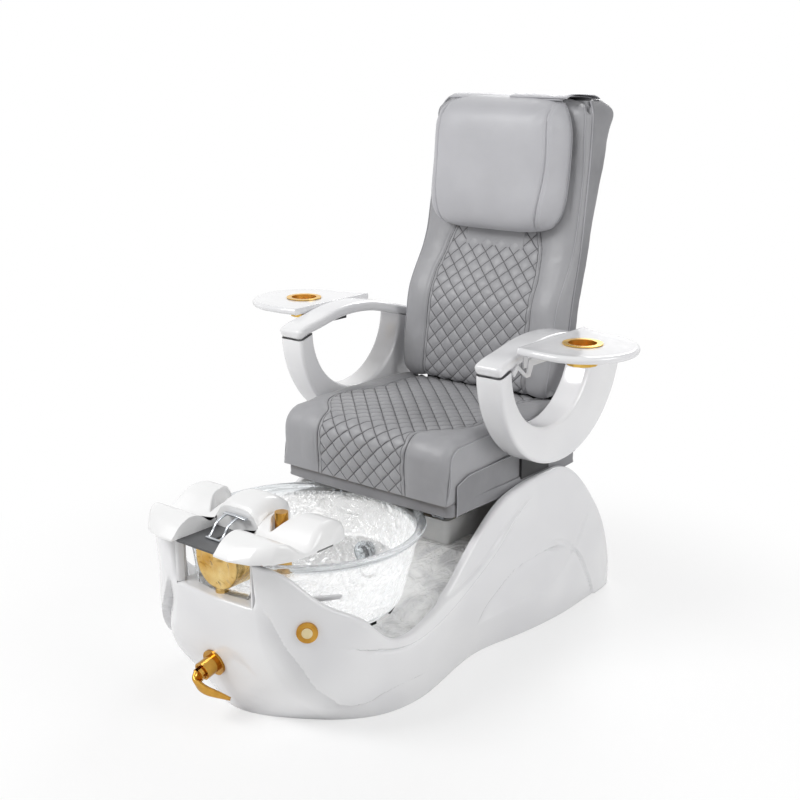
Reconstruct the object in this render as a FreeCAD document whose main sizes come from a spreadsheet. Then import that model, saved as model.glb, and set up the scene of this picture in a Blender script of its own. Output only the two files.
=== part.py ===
import FreeCAD, Part
import os
import Sketcher
from math import atan2, cos, degrees, radians, sin, tan

V = FreeCAD.Vector
X_AXIS, Y_AXIS, Z_AXIS = V(1, 0, 0), V(0, 1, 0), V(0, 0, 1)
doc = FreeCAD.newDocument("pedicure_chair")
sheet = doc.addObject("Spreadsheet::Sheet", "sizes")
nodes = []

# Driving dimensions in millimetres and degrees. +X is the sitter's left, the front is -Y, the floor is z = 0.
SIZES = {
    "fit_gap": 0.3,
    "running_gap": 0.05,
    # Base shell
    "wall": 18,
    "hull_height": 430,
    "ledge_top": 303,
    "ledge_plate": 14,
    "ledge_rear": -425,
    "pillar_gap": 122,
    "dip_height": 204,
    "dip_front": -350,
    "dip_rear": -265,
    "crest_height": 416,
    "crest_front": 184,
    "crest_rear": 368,
    "shoulder_height": 409,
    "leaf_depth": 8,
    # Bowl
    "bowl_center": -297,
    "bowl_rim_radius": 279,
    "bowl_rim_top": 386,
    "bowl_rim_flange": 8,
    "bowl_wall": 8,
    "bowl_base_radius": 176,
    "bowl_bottom": 176,
    "deck_plate": 5,
    "deck_low": 190,
    "deck_high": 286,
    # Seat riser and slide
    "plinth_half_width": 200,
    "plinth_front": -8,
    "plinth_rear": 330,
    "plinth_top": 346,
    "plinth_skin": 5,
    "rail_offset": 165,
    "rail_width": 36,
    "rail_height": 14,
    "rail_front": 0,
    "rail_length": 322,
    "carriage_front": 112,
    "carriage_length": 200,
    "slide_rod_start": 114,
    "slide_rod_end": 250,
    # Seat
    "seat_half_width": 264,
    "seat_front": -107,
    "seat_rear": 395,
    "seat_top": 583,
    "frame_bottom": 394,
    "seat_board": 16,
    "skirt_skin": 4,
    "skirt_bottom": 392,
    "seat_tube": 30,
    # Arms
    "arm_inside": 277,
    "arm_width": 76,
    "arm_center": 267,
    "arm_level": 745,
    "arm_radius": 279,
    "loop_center": 216,
    "loop_radius": 178,
    "cap_skin": 30,
    "cap_crest": 800,
    "tray_top": 798,
    "tray_plate": 18,
    "tray_reach": 448,
    "tray_center": 176,
    "tray_radius": 138,
    "cup_reach": 449,
    "cup_center": 183,
    "cup_radius": 45,
    "cup_depth": 50,
    "cup_skin": 2.5,
    "hinge_pin": 4,
    # Back
    "back_bottom": 577,
    "back_top": 1338,
    "pivot_back": 446,
    "pivot_height": 504,
    "pivot_radius": 8,
    "back_rail_offset": 205,
    "back_tube": 22,
    "shell_skin": 4,
    "track_low": 690,
    "track_high": 1190,
    "track_lean": 0.205,
    "pillow_half_width": 221,
    "pillow_bottom": 998,
    "pillow_top": 1352,
    # Footrest and spout
    "spout_half_width": 65,
    "spout_front": -588,
    "spout_depth": 80,
    "spout_bottom": 313,
    "spout_top": 397,
    "foot_pin_back": -548,
    "foot_pin_height": 418,
    "foot_pin_radius": 5,
    "foot_half_width": 224,
    "foot_gap": 66,
    "foot_gap_rear": -521,
    "foot_plate_bottom": 424,
    "foot_plate": 5,
    # Fittings
    "shower_radius": 15.5,
    "shower_side": 96,
    "shower_back": -476,
    "mixer_side": -28,
    "mixer_height": 123,
    "mixer_flange_radius": 32,
    "mixer_radius": 21.5,
    "lever_lift": 25,
    "button_side": 238,
    "button_height": 268,
    "button_radius": 23.5,
    "button_cap_radius": 12,
    "button_travel": 4,
    "jet_height": 240,
    "jet_radius": 30,
    "drain_radius": 22,
    "pipe_radius": 20,
    "pipe_skin": 3,
    "spigot_length": 90,
    "spigot_step": 1,
    "inlet_near_side": -64,
    "inlet_far_side": -120,
    "inlet_height": 96,
    "inlet_end": 596,
    "hose_room": 30,
}


def fill_sheet():
    """Each driving dimension gets a cell with an alias; the cell holds a plain number."""
    for row, (alias, value) in enumerate(SIZES.items(), start=1):
        sheet.set("A%d" % row, alias)
        sheet.set("B%d" % row, str(value))
        sheet.setAlias("B%d" % row, alias)
    doc.recompute()


fill_sheet()


def size(alias):
    """The value of a driving dimension, read back from the sheet."""
    return float(getattr(sheet, alias))


def formula(text):
    """Put the sheet's name before each alias in a formula."""
    words, word = [], ""
    for letter in text + " ":
        if letter.isalnum() or letter == "_":
            word += letter
            continue
        words.append("sizes." + word if word in SIZES else word)
        words.append(letter)
        word = ""
    return "".join(words).strip()


def bind(obj, prop, text):
    obj.setExpression(prop, formula(text))


def keep(obj, label):
    """Name a sub-part; its label is its file's name."""
    obj.Label = label
    nodes.append(obj)
    return obj


def feature(label, shape, placement=None):
    """A sub-part whose shape is worked out from the sheet's values."""
    obj = doc.addObject("Part::Feature", label)
    obj.Shape = shape
    obj.Placement = placement or FreeCAD.Placement()
    return keep(obj, label)


def body(label):
    obj = doc.addObject("PartDesign::Body", label)
    return keep(obj, label)


def plane(owner, role):
    """An origin plane of a body, found by its role."""
    return next(item for item in owner.Origin.OriginFeatures if item.Role == role)


def sketch(owner, name, role="XY_Plane", lift=None):
    """A sketch on one of the body's origin planes, lifted along the plane's normal by a formula."""
    obj = owner.newObject("Sketcher::SketchObject", name)
    obj.AttachmentSupport = [(plane(owner, role), "")]
    obj.MapMode = "FlatFace"
    if lift:
        obj.setExpression(".AttachmentOffset.Base.z", formula(lift))
    return obj


def pin_point(obj, geo, end, across, up):
    """Fix a sketch point to the origin by two formulas."""
    for kind, text in (("DistanceX", across), ("DistanceY", up)):
        index = obj.addConstraint(Sketcher.Constraint(kind, -1, 1, geo, end, 1.0))
        obj.setExpression("Constraints[%d]" % index, formula(text))


def value_of(text):
    """The number that a formula gives now, for a sketch's starting geometry."""
    return float(sheet.evalExpression(formula(text).replace("sizes.", "")))


def polygon(obj, corners):
    """A closed polygon whose corners are pairs of formulas."""
    spots = [V(value_of(a), value_of(b), 0) for a, b in corners]
    for i, spot in enumerate(spots):
        obj.addGeometry(Part.LineSegment(spot, spots[(i + 1) % len(spots)]), False)
    for i, (across, up) in enumerate(corners):
        obj.addConstraint(Sketcher.Constraint("Coincident", i, 1, (i - 1) % len(corners), 2))
        pin_point(obj, i, 1, across, up)


def circle(obj, across, up, radius):
    """A circle whose centre and radius are formulas."""
    spot = V(value_of(across), value_of(up), 0)
    geo = obj.addGeometry(Part.Circle(spot, Z_AXIS, value_of(radius)), False)
    pin_point(obj, geo, 3, across, up)
    index = obj.addConstraint(Sketcher.Constraint("Radius", geo, value_of(radius)))
    obj.setExpression("Constraints[%d]" % index, formula(radius))


def pad(owner, profile, length, both=False):
    obj = owner.newObject("PartDesign::Pad", owner.Name + "_pad")
    obj.Profile = profile
    obj.Midplane = both
    bind(obj, "Length", length)
    profile.Visibility = False
    return obj


def pocket(owner, profile, length=None, both=False, reverse=False):
    obj = owner.newObject("PartDesign::Pocket", owner.Name + "_pocket")
    obj.Profile = profile
    obj.Midplane = both
    obj.Reversed = reverse
    if length:
        bind(obj, "Length", length)
    else:
        obj.Type = 1
    return obj


def round_edges(owner, base, radius, choose):
    """Round the edges of the last feature that a test picks."""
    doc.recompute()
    names = ["Edge%d" % (i + 1) for i, edge in enumerate(base.Shape.Edges) if choose(edge)]
    obj = owner.newObject("PartDesign::Fillet", owner.Name + "_round")
    obj.Base = (base, names)
    obj.Radius = radius
    return obj


def cylinder(name, radius, height, spot, axis=Z_AXIS):
    """A plain cylinder; radius and height are formulas, the spot three formulas."""
    obj = doc.addObject("Part::Cylinder", name)
    bind(obj, "Radius", radius)
    bind(obj, "Height", height)
    obj.Placement = FreeCAD.Placement(V(), FreeCAD.Rotation(Z_AXIS, axis))
    place(obj, spot)
    return obj


def block(name, across, deep, tall, spot):
    obj = doc.addObject("Part::Box", name)
    for prop, text in (("Length", across), ("Width", deep), ("Height", tall)):
        bind(obj, prop, text)
    place(obj, spot)
    return obj


def place(obj, spot):
    for letter, text in zip("xyz", spot):
        bind(obj, "Placement.Base." + letter, text)


def fuse(name, *parts):
    obj = doc.addObject("Part::MultiFuse", name)
    obj.Shapes = list(parts)
    return obj


def cut(name, base, *tools):
    obj = doc.addObject("Part::Cut", name)
    obj.Base = base
    obj.Tool = tools[0] if len(tools) == 1 else fuse(name + "_tool", *tools)
    return obj


def group(name, *parts):
    """Separate solids kept in one node."""
    obj = doc.addObject("Part::Compound", name)
    obj.Links = list(parts)
    return obj


# Plain shapes for pieces that only lofts and booleans can make
def box(low, high):
    low, high = V(*low), V(*high)
    return Part.makeBox(high.x - low.x, high.y - low.y, high.z - low.z, low)


def rod(radius, start, end):
    start, end = V(*start), V(*end)
    return Part.makeCylinder(radius, (end - start).Length, start, end - start)


def face_of(points):
    points = [V(*p) for p in points]
    return Part.Face(Part.makePolygon(points + points[:1]))


def side_slab(profile, half_width):
    """A prism across the chair from a side profile of (y, z) points."""
    return face_of([(-half_width, y, z) for y, z in profile]).extrude(V(2 * half_width, 0, 0))


def smooth(points, closed=False):
    curve = Part.BSplineCurve()
    curve.interpolate([V(*p) for p in points], closed)
    return curve.toShape()


def eased(*handles):
    """A curve between the first and last handle that leaves and arrives along the other two."""
    curve = Part.BezierCurve()
    curve.setPoles([V(*p) for p in handles])
    return curve.toShape()


def arc(a, b, c):
    return Part.Arc(V(*a), V(*b), V(*c)).toShape()


def line(a, b):
    return Part.makeLine(V(*a), V(*b))


def mirrored(shape):
    return shape.mirror(V(), X_AXIS)


# Base shell
FLOOR_HALF = [(0, -540), (80, -520), (160, -474), (232, -420), (283, -358), (302, -280), (296, -190), (277, -80),
              (266, 49), (284, 150), (303, 270), (310, 380), (307, 500), (302, 590), (284, 638), (240, 650), (0, 654)]
LOW_HALF = [(0, -577), (94, -574), (186, -560), (260, -510), (303, -420), (318, -305), (313, -200), (300, -90),
            (290, 40), (297, 150), (306, 270), (311, 380), (308, 500), (303, 590), (285, 638), (240, 650), (0, 654)]
MID_HALF = [(0, -601), (100, -596), (186, -582), (250, -540), (296, -464), (319, -350), (319, -240), (312, -120),
            (305, 20), (304, 150), (306, 270), (309, 380), (307, 500), (302, 590), (285, 638), (240, 650), (0, 654)]
TOP_HALF = [(0, -616), (108, -612), (188, -596), (246, -554), (283, -482), (300, -376), (301, -260), (297, -120),
            (292, 20), (291, 150), (293, 270), (297, 380), (300, 500), (298, 590), (282, 638), (240, 650), (0, 654)]
HULL_LEVELS = ((-1, FLOOR_HALF), (120, LOW_HALF), (262, MID_HALF), (430, TOP_HALF))


def drawn_in(outline, inset):
    """A closed plan outline moved inwards, square to the line between each point's neighbours."""
    moved = []
    for i, (x, y) in enumerate(outline):
        before, after = outline[i - 1], outline[(i + 1) % len(outline)]
        along = V(after[0] - before[0], after[1] - before[1], 0).normalize()
        moved.append((x - along.y * inset, y + along.x * inset))
    return moved


def hull(inset):
    """The hull's outside, drawn in by an inset; the plan outlines are joined from the floor up."""
    wires = []
    for level, half in HULL_LEVELS:
        full = half + [(-x, y) for x, y in half[-2:0:-1]]
        level = min(level, size("hull_height"))
        wires.append(Part.Wire(smooth([(x, y, level) for x, y in drawn_in(full, inset)], True)))
    return Part.makeLoft(wires, True, False)


def top_profile(drop):
    """The side view's upper edge from bow to stern, as (y, z) points lowered by a drop."""
    shoulder, dip = size("shoulder_height"), size("dip_height")
    crest, front, rear = size("crest_height"), size("crest_front"), size("crest_rear")
    points = [(-700, shoulder + 8), (-600, shoulder), (-552, shoulder - 52), (-500, shoulder - 98),
              (-440, dip + 71), (-395, dip + 25), (size("dip_front"), dip), (size("dip_rear"), dip + 4),
              (-160, dip + 40), (-72, dip + 103), (-8, dip + 145), (66, crest - 28), (118, crest - 12),
              (front, crest - 4), (rear - 60, crest), (rear, crest - 4), (rear + 76, crest - 51),
              (rear + 138, crest - 121), (rear + 203, crest - 220), (rear + 245, crest - 325),
              (rear + 271, crest - 398), (rear + 276, -2)]
    return [(y, z - drop) for y, z in points]


def below_top(drop):
    """The space under the side view's upper edge."""
    points = top_profile(drop)
    edge = smooth([(-400, y, z) for y, z in points])
    ends = [(-400, points[-1][0], -90), (-400, points[0][0], -90), (-400,) + points[0]]
    sides = [line((-400,) + points[-1], ends[0]), line(ends[0], ends[1]), line(ends[1], ends[2])]
    return Part.Face(Part.Wire([edge] + sides)).extrude(V(800, 0, 0))


def leaf():
    """The leaf-shaped recess in the side, as a prism across the chair."""
    tip, end = (0, -6, 90), (0, 446, 148)
    upper = smooth([tip, (0, 61, 138), (0, 140, 173), (0, 230, 188), (0, 330, 182), end])
    lower = smooth([tip, (0, 130, 93), (0, 270, 92), (0, 369, 110), end])
    return Part.Face(Part.Wire([upper, lower])).extrude(V(60, 0, 0))


def base_shell():
    wall, ledge = size("wall"), size("ledge_top")
    center = V(0, size("bowl_center"), 0)
    outside = hull(0).common(below_top(0))
    outside = outside.common(box((-400, -700, 0), (400, 700, 500)))
    inside = hull(wall)
    plate_under = ledge - size("ledge_plate")
    front_space = box((-400, -700, -5), (400, size("ledge_rear") - size("ledge_plate"), plate_under))
    low_space = box((-400, -700, -5), (400, size("ledge_rear") + 1, size("deck_low") - 24))
    open_rear = size("crest_rear") + 34
    rear_space = box((-400, size("ledge_rear"), -5), (400, open_rear, 500))
    stern_space = box((-400, open_rear - 1, -5), (400, 700, 500)).common(below_top(1.4 * wall))
    shell = outside
    for space in (front_space, low_space, rear_space, stern_space):
        shell = shell.cut(inside.common(space))
    half = size("pillar_gap")
    notch = box((-half, -700, ledge), (half, size("ledge_rear") + 1, 500))
    bowl_space = Part.makeCylinder(size("bowl_rim_radius") + 16, 300, center + V(0, 0, ledge))
    shell = shell.cut(notch).cut(bowl_space)
    shoulder = inside.common(below_top(wall)).common(box((-400, -700, plate_under - 1), (400, size("ledge_rear"), 500)))
    keep_in = box((-half - wall, -700, 0), (half + wall, 0, 500))
    keep_round = Part.makeCylinder(size("bowl_rim_radius") + 16 + wall, 400, center)
    shell = shell.cut(shoulder.cut(keep_in).cut(keep_round))
    bowl_hole = Part.makeCylinder(bowl_radius_at(ledge) + 9, 400, center)
    shell = shell.cut(bowl_hole)
    reach = 306 - size("leaf_depth")
    for side in (leaf(), mirrored(leaf())):
        outward = 1 if side.BoundBox.XMax > 1 else -1
        shell = shell.cut(side.translated(V(outward * reach, 0, 0)))
    for place_on, radius in ((mixer_place(), size("mixer_radius") - 4), (button_place(), size("button_cap_radius") + 4)):
        hole = rod(radius, (0, 0, -50), (0, 0, 20))
        hole.Placement = place_on
        shell = shell.cut(hole)
    door = door_shape(0)
    return feature("base_shell", shell.cut(door))


def door_shape(gap):
    """The service door's space in the rear wall."""
    half, low, high = 170 - gap, 60 + gap, 290 - gap
    return box((-half, 440, low), (half, 700, high))


def hose_notch():
    """The opening at the door's foot for the hoses."""
    room = size("hose_room")
    return box((size("inlet_far_side") - room, 440, 0), (size("pipe_radius") + room, 700, size("inlet_height") + 50))


def rear_door():
    wall = size("wall")
    panel = hull(0).common(below_top(0)).cut(hull(wall).common(below_top(1.4 * wall)))
    panel = panel.common(door_shape(size("fit_gap"))).cut(hose_notch())
    return feature("rear_door", panel)


def bowl_radius_at(level):
    """The bowl's outer radius at a height, on its straight side."""
    top, low = size("bowl_rim_radius") - 9, size("bowl_base_radius") + 44
    share = (level - (size("bowl_bottom") + 22)) / (size("bowl_rim_top") - 14 - size("bowl_bottom") - 22)
    return low + (top - low) * share


def bow_place(across, level):
    """Where a straight line from the front meets the bow: a placement whose z axis points out of the hull."""
    outside = hull(0)
    inner = outside.common(line((across, -300, level), (across, -800, level)))
    spot = min((v.Point for v in inner.Vertexes), key=lambda point: point.y)
    near = min(outside.Faces, key=lambda face: face.distToShape(Part.Vertex(spot))[0])
    outward = near.normalAt(*near.Surface.parameter(spot))
    right = Z_AXIS.cross(outward).normalize()
    return FreeCAD.Placement(spot, FreeCAD.Rotation(right, outward.cross(right), outward, "ZXY"))


def mixer_place():
    return bow_place(size("mixer_side"), size("mixer_height"))


def button_place():
    return bow_place(size("button_side"), size("button_height"))


def bowl_cone(gap):
    """The bowl's straight side, widened by a gap."""
    low, high = 150, 340
    base = V(0, size("bowl_center"), low)
    return Part.makeCone(bowl_radius_at(low) + gap, bowl_radius_at(high) + gap, high - low, base)


def basin_deck():
    """The sheet that closes the base round the bowl and carries the seat riser."""
    plate, low, high = size("deck_plate"), size("deck_low"), size("deck_high")
    front, rise = size("ledge_rear") + size("fit_gap"), size("plinth_front") - 14
    over = [(front, low), (size("dip_rear") + 10, low), (-120, low + 52), (rise, high), (392, high)]
    under = [(y, z - plate) for y, z in reversed(over)]
    sheet_shape = side_slab(over + under, 400).common(hull(size("wall") + size("fit_gap")))
    sheet_shape = sheet_shape.cut(bowl_cone(3))
    return feature("basin_deck", sheet_shape)


def tube_frame(tube, runs):
    """Square tubes joined into one welded frame; each run is its two ends."""
    shape = None
    half = tube / 2
    for start, end in runs:
        low = [min(a, b) - half for a, b in zip(start, end)]
        high = [max(a, b) + half for a, b in zip(start, end)]
        shape = box(low, high) if shape is None else shape.fuse(box(low, high))
    return shape.removeSplitter()


def base_frame():
    """The welded steel frame in the base: floor rails, posts under the seat riser and a saddle under the bowl."""
    tube, low, side = 34, 44, 178
    top = size("deck_high") - size("deck_plate") - size("fit_gap") - tube / 2
    saddle = size("bowl_bottom") - size("fit_gap") - tube / 2
    front, bowl_rear, rear = size("bowl_center") - 105, size("bowl_center") + 105, 540
    runs = [((x, front, low), (x, rear, low)) for x in (-side, side)]
    runs += [((-side, y, low), (side, y, low)) for y in (front, bowl_rear, 40, 322, 410, rear)]
    for x in (-side, side):
        runs += [((x, y, low), (x, y, top)) for y in (40, 322)]
        runs.append(((x, 40, top), (x, 322, top)))
    runs += [((-side, y, top), (side, y, top)) for y in (40, 322)]
    for x in (-96, 96):
        runs += [((x, y, low), (x, y, saddle)) for y in (front, bowl_rear)]
    return feature("base_frame", tube_frame(tube, runs))


def levelling_feet():
    feet = []
    for side in (-1, 1):
        for back in (-370, 150, 520):
            spot = ("%d" % (side * 178), "%d" % back)
            name = "foot_%s_%d" % ("near" if side > 0 else "far", back + 400)
            disc = cylinder(name + "_pad", "24", "8", spot + ("0",))
            stud = cylinder(name + "_stud", "6", "18.7", spot + ("8",))
            feet.append(fuse(name, disc, stud))
    return keep(group("levelling_feet", *feet), "levelling_feet")


def seat_plinth():
    """The seat riser: a moulded box, open below, with the slide rails on its top."""
    outer = body("seat_plinth")
    plan = sketch(outer, "plinth_plan", "XY_Plane", "deck_high+fit_gap")
    polygon(plan, [("-plinth_half_width", "plinth_front"), ("plinth_half_width", "plinth_front"),
                   ("plinth_half_width", "plinth_rear"), ("-plinth_half_width", "plinth_rear")])
    block_pad = pad(outer, plan, "plinth_top-deck_high-fit_gap")
    rounded = round_edges(outer, block_pad, 14, lambda e: abs(e.tangentAt(e.FirstParameter).z) > 0.9)
    doc.recompute()
    hollow = sketch(outer, "plinth_hollow", "XY_Plane", "plinth_top-plinth_skin")
    polygon(hollow, [("-plinth_half_width+plinth_skin", "plinth_front+plinth_skin"),
                     ("plinth_half_width-plinth_skin", "plinth_front+plinth_skin"),
                     ("plinth_half_width-plinth_skin", "plinth_rear-plinth_skin"),
                     ("-plinth_half_width+plinth_skin", "plinth_rear-plinth_skin")])
    pocket(outer, hollow)
    return rounded


def revolve(owner, profile):
    obj = owner.newObject("PartDesign::Revolution", owner.Name + "_turn")
    obj.Profile = profile
    obj.ReferenceAxis = (profile, ["V_Axis"])
    obj.Angle = 360
    profile.Visibility = False
    return obj


def bowl():
    turned = body("bowl_turned")
    nodes.pop()
    section = sketch(turned, "bowl_section", "XZ_Plane", "-bowl_center")
    rim = "bowl_rim_radius"
    polygon(section, [("drain_radius", "bowl_bottom"), ("bowl_base_radius", "bowl_bottom"),
                      ("bowl_base_radius+44", "bowl_bottom+22"), (rim + "-9", "bowl_rim_top-14"),
                      (rim + "+5", "bowl_rim_top-bowl_rim_flange"), (rim + "+5", "bowl_rim_top"),
                      (rim + "-9-bowl_wall", "bowl_rim_top"),
                      ("bowl_base_radius+44-bowl_wall", "bowl_bottom+25"),
                      ("bowl_base_radius-bowl_wall/2", "bowl_bottom+bowl_wall"),
                      ("drain_radius", "bowl_bottom+bowl_wall")])
    revolve(turned, section)
    notch = block("bowl_notch", "2*spout_half_width+8", "80+foot_pin_back-spout_front", "200",
                  ("-spout_half_width-4", "spout_front-40", "spout_bottom-4"))
    jet_hole = cylinder("bowl_jet_hole", "jet_radius-7", "60", ("0", "bowl_center+bowl_base_radius+20", "jet_height"),
                        Y_AXIS)
    return keep(cut("bowl", turned, notch, jet_hole), "bowl")


def bowl_seal():
    """The rubber ring between the bowl and the ledge."""
    radius = bowl_radius_at(size("ledge_top")) + 0.6
    center = V(0, size("bowl_center"), size("ledge_top") - 6)
    ring = Part.makeCylinder(radius + 7.9, 6, center).fuse(Part.makeCylinder(radius + 12, 5, center + V(0, 0, 6.2)))
    ring = ring.fuse(Part.makeCylinder(radius + 7.9, 0.4, center + V(0, 0, 5.9))).cut(bowl_cone(size("fit_gap")))
    half = size("spout_half_width") + 8
    side = size("bowl_rim_radius") + 40
    gap = box((-half, -700, 280), (half, size("bowl_center"), 400))
    front_half = box((-side, -700, 280), (side, size("ledge_rear") - 2, 400))
    return feature("bowl_seal", ring.common(front_half).cut(gap))


def drain():
    spot = ("0", "bowl_center")
    base = "bowl_bottom+bowl_wall"
    flange = cylinder("drain_lip", "drain_radius+12", "3", spot + (base + "+fit_gap",))
    neck = cylinder("drain_neck", "drain_radius-0.5", "34", spot + (base + "+3-34",))
    bore = cylinder("drain_bore", "drain_radius-4", "80", spot + (base + "-50",))
    keep(cut("drain_flange", fuse("drain_body", flange, neck), bore), "drain_flange")
    disc = cylinder("stopper_disc", "drain_radius-2", "4", spot + (base + "+3.6",))
    stem = cylinder("stopper_stem", "4", "30", spot + (base + "-26",))
    knob = cylinder("stopper_knob", "7", "10", spot + (base + "+7",))
    keep(fuse("drain_stopper", disc, stem, knob), "drain_stopper")


def pipe(label, radius, bore, points, bend):
    """A bent pipe: straight runs joined by tangent arcs of one bend radius."""
    points = [V(*p) for p in points]
    edges, start = [], points[0]
    for before, corner, after in zip(points, points[1:], points[2:]):
        back, ahead = (before - corner).normalize(), (after - corner).normalize()
        turn = back.getAngle(ahead)
        reach = bend / tan(turn / 2)
        first, last = corner + back * reach, corner + ahead * reach
        middle = (back + ahead).normalize()
        top = corner + middle * (bend / sin(turn / 2) - bend)
        edges += [line(start, first), arc(first, top, last)]
        start = last
    path = Part.Wire(edges + [line(start, points[-1])])
    along = points[1] - points[0]
    solids = []
    for r in (radius, bore):
        section = Part.Wire(Part.makeCircle(r, points[0], along))
        solids.append(path.makePipeShell([section], True, False))
    return solids[0].cut(solids[1])


def drain_trap():
    radius, skin = size("pipe_radius"), size("pipe_skin")
    y, top = size("bowl_center"), size("bowl_bottom") + size("bowl_wall") - 31.3
    level, end, spigot = 92, 566, size("spigot_length")
    shape = pipe("trap", radius, radius - skin, [(0, y, top), (0, y, level), (0, end, level)], 40)
    turned = rod(radius + 5, (0, end - spigot, level), (0, end + 5, level))
    turned = turned.cut(rod(radius - size("spigot_step"), (0, end - spigot, level), (0, end + 5, level)))
    return feature("drain_trap", shape.cut(turned))


def jet():
    """The whirlpool jet: housing in the bowl's wall, cover, impeller and dry-side motor."""
    wall_in = size("bowl_center") + bowl_radius_at(size("jet_height")) - size("bowl_wall")
    level, radius = size("jet_height"), size("jet_radius")
    lip = rod(radius, (0, wall_in - 17, level), (0, wall_in - 11.5, level))
    neck = rod(radius - 7.5, (0, wall_in - 12, level), (0, wall_in + 26, level))
    chamber = rod(radius - 10.5, (0, wall_in - 20, level), (0, wall_in + 22, level))
    feature("jet_housing", lip.fuse(neck).cut(chamber))
    cover = rod(radius - 1, (0, wall_in - 21, level), (0, wall_in - 17.3, level))
    for turn in range(8):
        slot_rod = rod(3.2, (0, wall_in - 30, level + radius * 0.62), (0, wall_in, level + radius * 0.62))
        slot_rod.rotate(V(0, 0, level), Y_AXIS, 45 * turn)
        cover = cover.cut(slot_rod)
    feature("jet_cover", cover)
    hub = rod(6, (0, wall_in - 10, level), (0, wall_in + 21.5, level))
    impeller = hub
    for turn in range(6):
        blade = box((-1, wall_in - 10, level), (1, wall_in + 8, level + radius - 12))
        blade.rotate(V(0, 0, level), Y_AXIS, 60 * turn)
        impeller = impeller.fuse(blade)
    feature("jet_impeller", impeller.removeSplitter())
    can = rod(30, (0, wall_in + 26.3, level), (0, wall_in + 94, level))
    ears = box((-44, wall_in + 40, level - 6), (44, wall_in + 60, level + 6))
    feature("jet_motor", can.fuse(ears))


# Slide and seat
def slide():
    rails, cars = [], []
    for name, side in (("far", "-rail_offset"), ("near", "rail_offset")):
        rail = block("rail_" + name, "rail_width", "rail_length", "rail_height",
                     (side + "-rail_width/2", "rail_front", "plinth_top"))
        groove = block("rail_groove_" + name, "rail_width-16", "rail_length", "rail_height",
                       (side + "-rail_width/2+8", "rail_front", "plinth_top+4"))
        rails.append(cut("slide_rail_" + name, rail, groove))
        car = block("car_" + name, "rail_width+14", "carriage_length", "frame_bottom-plinth_top-2-fit_gap",
                    (side + "-rail_width/2-7", "carriage_front", "plinth_top+2"))
        room = block("car_room_" + name, "rail_width+2*fit_gap", "carriage_length", "rail_height-2+fit_gap",
                     (side + "-rail_width/2-fit_gap", "carriage_front", "plinth_top+2"))
        cars.append(cut("slide_carriage_" + name, car, room))
    keep(group("slide_rails", *rails), "slide_rails")
    keep(group("slide_carriages", *cars), "slide_carriages")
    level = "plinth_top+22"
    can = cylinder("slide_can", "17", "124", ("0", "rail_front+6", level), Y_AXIS)
    bore = cylinder("slide_bore", "8+running_gap", "124", ("0", "rail_front+12", level), Y_AXIS)
    foot = block("slide_foot", "50", "60", "9", ("-25", "rail_front+30", "plinth_top"))
    keep(cut("slide_actuator", fuse("slide_case", can, foot), bore), "slide_actuator")
    keep(cylinder("slide_rod", "8", "slide_rod_end-14-fit_gap-slide_rod_start", ("0", "slide_rod_start", level), Y_AXIS),
         "slide_rod")


def seat_frame():
    """The welded seat frame with the two ears that carry the back."""
    tube, side = size("seat_tube"), 205
    level = size("frame_bottom") + tube / 2
    front, rear = size("seat_front") + 52, size("seat_rear") - 10
    runs = [((x, front, level), (x, rear, level)) for x in (-side, side)]
    runs += [((-side, y, level), (side, y, level)) for y in (front, 130, 258, rear)]
    frame = tube_frame(tube, runs)
    back, high, radius = size("pivot_back"), size("pivot_height"), size("pivot_radius")
    top, wall_edge = size("frame_bottom") + tube, size("seat_rear") + 9
    for outward in (-1, 1):
        x = outward * (side + tube / 2 + 4) - 4
        ear = face_of([(x, rear - 60, level - 14), (x, wall_edge - 5, level - 14), (x, wall_edge, level + 3),
                       (x, back + 20, high - 22), (x, back + 20, high + 4), (x, back + 6, high + 20),
                       (x, back - 14, high + 16), (x, wall_edge, top + 40), (x, wall_edge - 5, top + 16),
                       (x, wall_edge - 5, top), (x, rear - 60, top)])
        frame = frame.fuse(ear.extrude(V(8, 0, 0)).cut(rod(radius, (x - 10, back, high), (x + 20, back, high))))
    frame = frame.fuse(box((-side - tube / 2, wall_edge - 2, top), (side + tube / 2, wall_edge + 22, top + 24)))
    lug = rod(14, (-size("rail_width") / 2, size("slide_rod_end"), size("plinth_top") + 22),
              (size("rail_width") / 2, size("slide_rod_end"), size("plinth_top") + 22))
    lug = lug.fuse(box((-14, size("slide_rod_end") - 12, size("plinth_top") + 24), (14, size("slide_rod_end") + 12, level)))
    tab_x, tab_y, tab_z = size("seat_half_width") - 27, size("seat_front") + 29, size("skirt_bottom") + 2
    tab = box((tab_x, tab_y, tab_z), (tab_x + 18, tab_y + 25, tab_z + 3))
    tab = tab.fuse(box((tab_x - 20, tab_y + 22, tab_z), (tab_x + 18, tab_y + 25, level)))
    for extra in (lug, arm_bracket(), mirrored(arm_bracket()), tab, mirrored(tab)):
        frame = frame.fuse(extra)
    return feature("seat_frame", frame.removeSplitter())


def cushion_loft(stations):
    """A soft form lofted through closed stations of straight lines and arcs."""
    return Part.makeLoft([Part.Wire(edges) for edges in stations], True, False)


def seat_station(x, drop, draw):
    """The seat cushion's side view at a distance across: rolled front, flat base, crowned top."""
    front, rear = size("seat_front") + draw, size("seat_rear")
    top, low = size("seat_top") - drop, size("frame_bottom") + size("seat_tube") + size("seat_board") + 1
    roll = 56
    a, b = (x, front + 4, low), (x, front, top - roll)
    c = (x, front + roll * 0.29, top - roll * 0.29)
    d, e, f = (x, front + roll, top), (x, rear, top - 12), (x, rear, low)
    return [line(a, b), arc(b, c, d), line(d, e), line(e, f), line(f, a)]


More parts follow.
